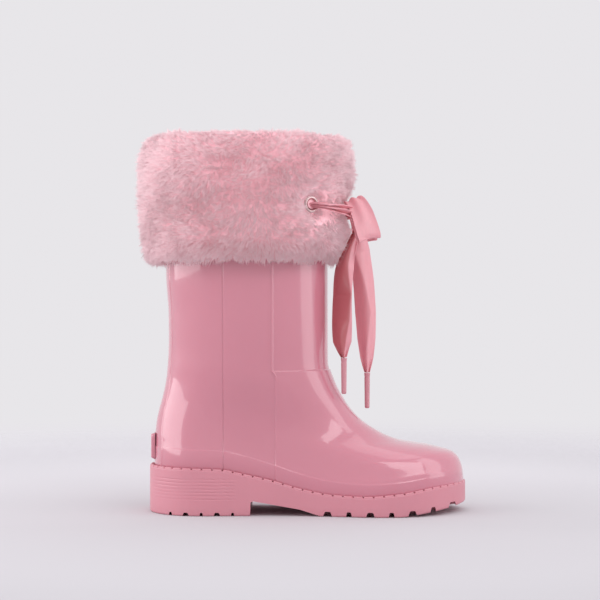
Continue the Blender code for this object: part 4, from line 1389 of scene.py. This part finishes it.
@dataclass
class Strip:
    """A length of the ribbon: where it runs, which way it lies and how far it is gathered."""

    name: str
    places: Array
    across: Array
    chords: Array
    folds: float = 1.0
    folds_at_ends: float = 3.0
    cup: float = 1.0
    pleat: float = 0.0
    ripple: float = 0.0
    crease: Sequence[float] = (0.0,)
    crease_depth: float = 0.0
    cut: float = 14.5
    thickness: float = 0.34
    columns: int = 33

    def mesh(self) -> Piece:
        """Builds the strip as thin cloth whose gathered places fold instead of shrinking."""
        ahead = unit(np.gradient(self.places, axis=0))
        across = unit(self.across - np.einsum("ij,ij->i", self.across, ahead)[:, None] * ahead)
        out = np.cross(ahead, across)
        u = np.linspace(-1, 1, self.columns)
        rows = len(self.places)
        share = np.linspace(0, 1, rows)
        crease = spread(self.crease, rows)
        grid = np.zeros((rows, self.columns, 3))
        for k in range(rows):
            chord = min(self.chords[k], self.cut)
            tight = smooth(1 - chord / self.cut) ** 0.5
            waves = self.folds + (self.folds_at_ends - self.folds) * tight
            folded = max(float(tight), self.pleat)
            bend = (1 - folded) * (1 - u**2) + folded * np.cos(waves * math.pi * u) * (1 - 0.25 * u**2)
            height = self._fold_height(chord, u, bend) * self.cup
            lift = height * bend - self.crease_depth * (1 - tight) * (np.hypot(u - crease[k], 0.06) - 0.5)
            lift = lift + self.ripple * np.sin(2 * math.pi * (1.3 * share[k] + 0.35 * u)) * (1 - tight)
            grid[k] = self.places[k] + across[k] * (u * chord / 2)[:, None] + out[k] * lift[:, None]
        normals = grid_normals(grid)
        half = self.thickness / 2
        return make_piece(self.name, *shell(grid + normals * half, grid - normals * half), crease=60)

    def _fold_height(self, chord: float, u: Array, bend: Array) -> float:
        """The depth of fold that keeps the cloth's own width within a narrower span."""
        low, high = 0.0, 6.0
        for _ in range(24):
            middle = (low + high) / 2
            line = np.hypot(np.diff(u) * chord / 2, np.diff(bend) * middle).sum()
            low, high = (middle, high) if line < self.cut else (low, middle)
        return min(low, 2.6)


@dataclass
class Bow:
    """The ribbon: a hidden run, a run from each eyelet, the knot, two loops and two tipped tails."""

    form: BootForm
    knot_at: tuple[float, float, float] = (36.5, 0.0, 181.0)
    knot_size: tuple[float, float, float] = (4.3, 5.0, 5.2)
    run_distances: tuple[float, ...] = (9.5, 14.6, 14.9, 15.2, 15.6, 16.0, 16.4, 16.8, 17.2)
    eyelet_angle: float = 46
    eyelet_z: float = 187
    near_route: tuple = ((36.0, -5.5, 173.5), (31.0, -8.5, 162), (26.8, -12, 149), (25.4, -14, 133),
                         (25.2, -14.5, 117), (25.6, -14.3, 104), (26.8, -13.5, 94.5))
    near_widths: tuple = (4, 7, 12.5, 14.4, 14.2, 11.5, 3.2)
    near_turns: tuple = (10, -10, -18, -22, -18, -8, 0)
    near_crease: tuple = (0.2, 0.3, 0.55, 0.95, 0.8, 0.45, 0.2)
    far_route: tuple = ((37.2, 4.5, 173.5), (37.8, 6.5, 160), (39.8, 8, 142), (41.0, 8, 122), (41.5, 8, 106),
                        (41.7, 8, 94), (41.8, 8, 84.5))
    far_widths: tuple = (6, 13.6, 13.2, 12.6, 11.2, 8.4, 3.2)
    far_turns: tuple = (10, 14, 10, 6, 4, 2, 0)
    far_crease: tuple = (-0.9, -0.7, -0.1, 0.45, 0.1, -0.3, -0.5)
    loop_route: tuple = ((0, 2.5, 1.5), (-3.3, 6, 7), (-4.8, 10, 10), (-2.6, 14.5, 8.8), (0.8, 18.5, 2.5),
                         (3.4, 21.5, -5.5), (5.2, 23.5, -12), (5.2, 23, -14.5), (3.8, 20.5, -12),
                         (2.2, 17, -6), (1, 12, -2), (0.5, 7, -0.8), (0, 2.5, -1.5))
    loop_widths: tuple = (4, 8, 10.5, 12, 13.6, 14.4, 14.5, 14.5, 14.2, 13, 10, 7, 4)
    loop_turn: float = 16
    loop_tilt: float = 20
    tip_radius: float = 1.9
    tip_length: float = 22
    cut: float = 14.5

    def build(self, wardrobe: Wardrobe) -> None:
        """Makes every length of ribbon, the knot and the tips."""
        self._runs(wardrobe)
        self._knot(wardrobe)
        self._loops(wardrobe)
        self._tail(wardrobe, "near", self.near_route, self.near_widths, self.near_turns, self.near_crease)
        self._tail(wardrobe, "far", self.far_route, self.far_widths, self.far_turns, self.far_crease)

    def _declare(self) -> None:
        """Works out the ribbon's cut width in metres and leaves it unused."""
        self.cut * MM

    def _runs(self, wardrobe: Wardrobe) -> None:
        """The hidden run behind the cuff and the gathered run from each eyelet to the knot."""
        form, steps = self.form, 60
        angle = np.radians(self.eyelet_angle + 5) * np.linspace(-1, 1, steps)
        hidden = Strip("ribbon_back_run", form.shaft_point(angle, 2.1, self.eyelet_z),
                       np.tile((0.0, 0.0, 1.0), (steps, 1)), np.full(steps, self.cut), ripple=0.12)
        piece = wardrobe.dress(hidden.mesh(), Finish.SATIN, "boot", "ribbon_inner_run")
        self._declare()
        for name, side in (("lateral", -1), ("medial", 1)):
            start, end = math.radians(self.eyelet_angle), math.radians(7)
            share = np.linspace(0, 1, steps)
            angle = side * (start + (end - start) * share)
            away = spread(self.run_distances, steps)
            away = np.where(share < 0.06, 5.2 + (away - 5.2) * smooth(share / 0.06), away)
            fall = (self.eyelet_z - self.knot_at[2] - 2) * share
            height = self.eyelet_z - fall - 1.2 * np.sin(math.pi * share)
            places = form.shaft_point(angle, away, height)
            roll = np.radians(spread((70, 25, -15, 10, 0), steps))[:, None]
            out = form.shaft_out(angle)
            across = np.array((0.0, 0.0, 1.0)) * np.cos(roll) + out * np.sin(roll)
            run = Strip(f"ribbon_front_run_{name}", places, across, spread((3.0, 4.6, 6.4, 7.0, 5.5), steps),
                        folds_at_ends=2.5, cup=1.0)
            piece = wardrobe.dress(run.mesh(), Finish.SATIN, "boot", f"ribbon_run_{name}")
            self._declare()

    def _knot(self, wardrobe: Wardrobe) -> None:
        """The wrapped knot, with the creases of the pulled ribbon round it."""
        rows, columns = 48, 96
        v, u = np.meshgrid(np.linspace(0.04, math.pi - 0.04, rows),
                           np.linspace(0, 2 * math.pi, columns, endpoint=False), indexing="ij")
        waist = 1 - 0.10 * np.cos(2 * v)
        crease = 0.045 * np.cos(9 * (v + 0.12 * np.sin(2 * u))) + 0.03 * np.sin(3 * u + 2 * v)
        size = waist + crease * np.sin(v)
        a, b, c = self.knot_size
        tilt = math.radians(-18)
        x, z = a * np.sin(v) * np.cos(u) * size, c * np.sin(v) * np.sin(u) * size
        y = b * np.cos(v) * size
        level, steep = math.cos(tilt), math.sin(tilt)
        local = np.stack([x * level - z * steep, y, x * steep + z * level], -1)
        knot = make_piece("ribbon_knot", *tube(np.array(self.knot_at) + local), crease=75)
        wardrobe.dress(knot, Finish.SATIN, "boot", "bow_knot")

    def _loops(self, wardrobe: Wardrobe) -> None:
        """The two drooping loops, pleated where they enter the knot."""
        steps = 120
        for name, side in (("lateral", -1), ("medial", 1)):
            turn, tilt = math.radians(self.loop_turn), math.radians(self.loop_tilt)
            places = np.array(self.knot_at) + route(self.loop_route, steps) * (1, side, 1)
            beside = (math.cos(turn), -side * math.sin(turn), math.tan(tilt))
            across = np.tile(unit(np.array(beside)), (steps, 1))
            loop = Strip(f"ribbon_loop_{name}", places, across, spread(self.loop_widths, steps), folds=1.5,
                         folds_at_ends=2.5, cup=0.6, pleat=0.75, ripple=0.25)
            piece = wardrobe.dress(loop.mesh(), Finish.SATIN, "boot", f"bow_loop_{name}")
            self._declare()

    def _tail(self, wardrobe: Wardrobe, name: str, points: tuple, widths: tuple, turns: tuple,
              crease: tuple) -> None:
        """A hanging tail, gathered into its rolled tip."""
        steps = 110
        places = route(points, steps)
        turn = np.radians(spread(turns, steps))
        across = np.stack([np.cos(turn), np.sin(turn), 0 * turn], -1)
        tail = Strip(f"ribbon_end_{name}", places, across, spread(widths, steps), folds_at_ends=1.5, cup=0.75,
                     ripple=0.25, crease=crease, crease_depth=3.4)
        piece = wardrobe.dress(tail.mesh(), Finish.SATIN, f"tail_{name}", f"ribbon_tail_{name}")
        # The near tail gets painted shade on one side of its crease.
        if name == "near":
            self._mark_painted_shade(piece, tail, spread(crease, steps))
        tip = self._tip(wardrobe, name, np.array(points[-1], float))
        self._declare()

    def _mark_painted_shade(self, piece: Piece, tail: Strip, crease: Array) -> None:
        """Marks the part of a tail that gets painted shade: a darker colour for its side shadowed by the fur
        and the bow.

        Args:
            piece: the tail's piece.
            tail: the strip that it was made from.
            crease: where that part ends across the tail, from -1 to 1, at every step.
        """
        spots = np.empty(len(piece.data.vertices) * 3, np.float32)
        piece.data.vertices.foreach_get("co", spots)
        spots = spots.reshape(-1, 3) / MM
        step = np.abs(spots[:, None, 2] - tail.places[None, :, 2]).argmin(axis=1)
        offset = np.einsum("ij,ij->i", spots - tail.places[step], tail.across[step]) / (tail.chords[step] / 2)
        mark_points(piece, "reverse", smooth((crease[step] - offset) * 8 + 0.5))

    def _tip(self, wardrobe: Wardrobe, name: str, top: Array) -> Piece:
        """A rolled film tip: a slim tapering tube with its lapped edge, a pressed neck and a trimmed end."""
        rows, columns = 60, 48
        run = np.linspace(0, 1, rows)
        taper = self.tip_radius * (0.94 - 0.14 * run)
        bulge, neck = (np.exp(-(((run - at) / wide) ** 2)) for at, wide in ((0.03, 0.03), (0.12, 0.02)))
        taper *= 1 + 0.07 * bulge - 0.06 * neck
        taper *= np.where(run > 0.965, np.sqrt(np.clip(1 - ((run - 0.965) / 0.05) ** 2, 0.15, 1)), 1)
        angle = np.linspace(0, 2 * math.pi, columns, endpoint=False)
        lap = 1 + 0.06 * smooth(1 - np.abs(angle - 4.2) / 0.9)
        radius = taper[:, None] * lap[None]
        down = top[2] - 0.2 - run * self.tip_length
        grid = np.stack([top[0] + radius * np.cos(angle), top[1] + radius * np.sin(angle),
                         np.broadcast_to(down[:, None], radius.shape)], -1)
        tip = make_piece(f"ribbon_tip_{name}", *tube(grid), crease=50)
        return wardrobe.dress(tip, Finish.TIP, f"tail_{name}", f"aglet_{name}")


# ---------------- studio


@dataclass(frozen=True)
class Softbox:
    """One soft light: a rectangle that looks at the boot."""

    name: str
    place: tuple[float, float, float]
    size: tuple[float, float]
    power: float
    aim: tuple[float, float, float] = (0.0, 0.0, 0.11)

    def build(self) -> None:
        """Makes the light."""
        lamp = bpy.data.lights.new(self.name, "AREA")
        lamp.shape, lamp.energy = "RECTANGLE", self.power
        lamp.size, lamp.size_y = self.size
        holder = bpy.data.objects.new(self.name, lamp)
        holder.location = self.place
        holder.rotation_euler = (Vector(self.aim) - Vector(self.place)).to_track_quat("-Z", "Y").to_euler()
        holder.visible_camera = False
        bpy.context.scene.collection.objects.link(holder)


@dataclass
class Studio:
    """Pale paper, an even sky, soft lights on both sides and a level camera."""

    sky: Colour = (0.805, 0.79, 0.815)
    distance: float = 1.03
    height: float = 0.1296
    lens: float = 100
    turn: float = 0.0
    paper_radius: float = 1.1

    def build(self) -> None:
        """Makes the camera, sky, paper and lights."""
        scene = bpy.context.scene
        scene.view_settings.view_transform = "Standard"
        camera = bpy.data.cameras.new("camera")
        camera.lens, camera.sensor_width = self.lens, 36
        holder = bpy.data.objects.new("camera", camera)
        turn = math.radians(self.turn)
        holder.location = (self.distance * math.sin(turn), -self.distance * math.cos(turn), self.height)
        holder.rotation_euler = (math.radians(90), 0, turn)
        scene.collection.objects.link(holder)
        scene.camera = holder
        world = bpy.data.worlds.new("sky")
        world.use_nodes = True
        world.node_tree.nodes["Background"].inputs["Color"].default_value = (*self.sky, 1)
        scene.world = world
        self._paper()
        for light in (Softbox("key_right", (1.2, -0.25, 0.75), (0.52, 2.2), 4.6, (0.0, 0.0, 0.75)),
                      Softbox("key_left", (-1.13, -0.14, 0.5), (1.3, 0.85), 7.5),
                      Softbox("overhead", (0.1, 0.1, 1.5), (1.2, 1.2), 3.0),
                      Softbox("key_front", (0.72, -0.92, 1.05), (1.1, 0.5), 3.8)):
            light.build()

    def _paper(self) -> None:
        """The round sheet of paper under the boot."""
        rings, columns = 24, 96
        radius = np.linspace(0.01, self.paper_radius / MM, rings)[:, None]
        angle = np.linspace(0, 2 * math.pi, columns, endpoint=False)[None]
        low = np.full((rings, columns), -0.05)
        flat = np.stack([radius * np.cos(angle), radius * np.sin(angle), low], -1)
        thick = flat - (0, 0, 0.5)
        paper = make_piece("studio_paper", *shell(flat, thick, wrap=True))
        paper.data.materials.append(Paper().material())


def main() -> None:
    """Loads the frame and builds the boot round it."""
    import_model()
    form = BootForm()
    wardrobe = Wardrobe()
    Studio().build()
    for part in (Upper(form), Sole(form), Cuff(form), Bow(form)):
        log.info("building the %s", type(part).__name__.lower())
        part.build(wardrobe)


if __name__ == "__main__":
    main()
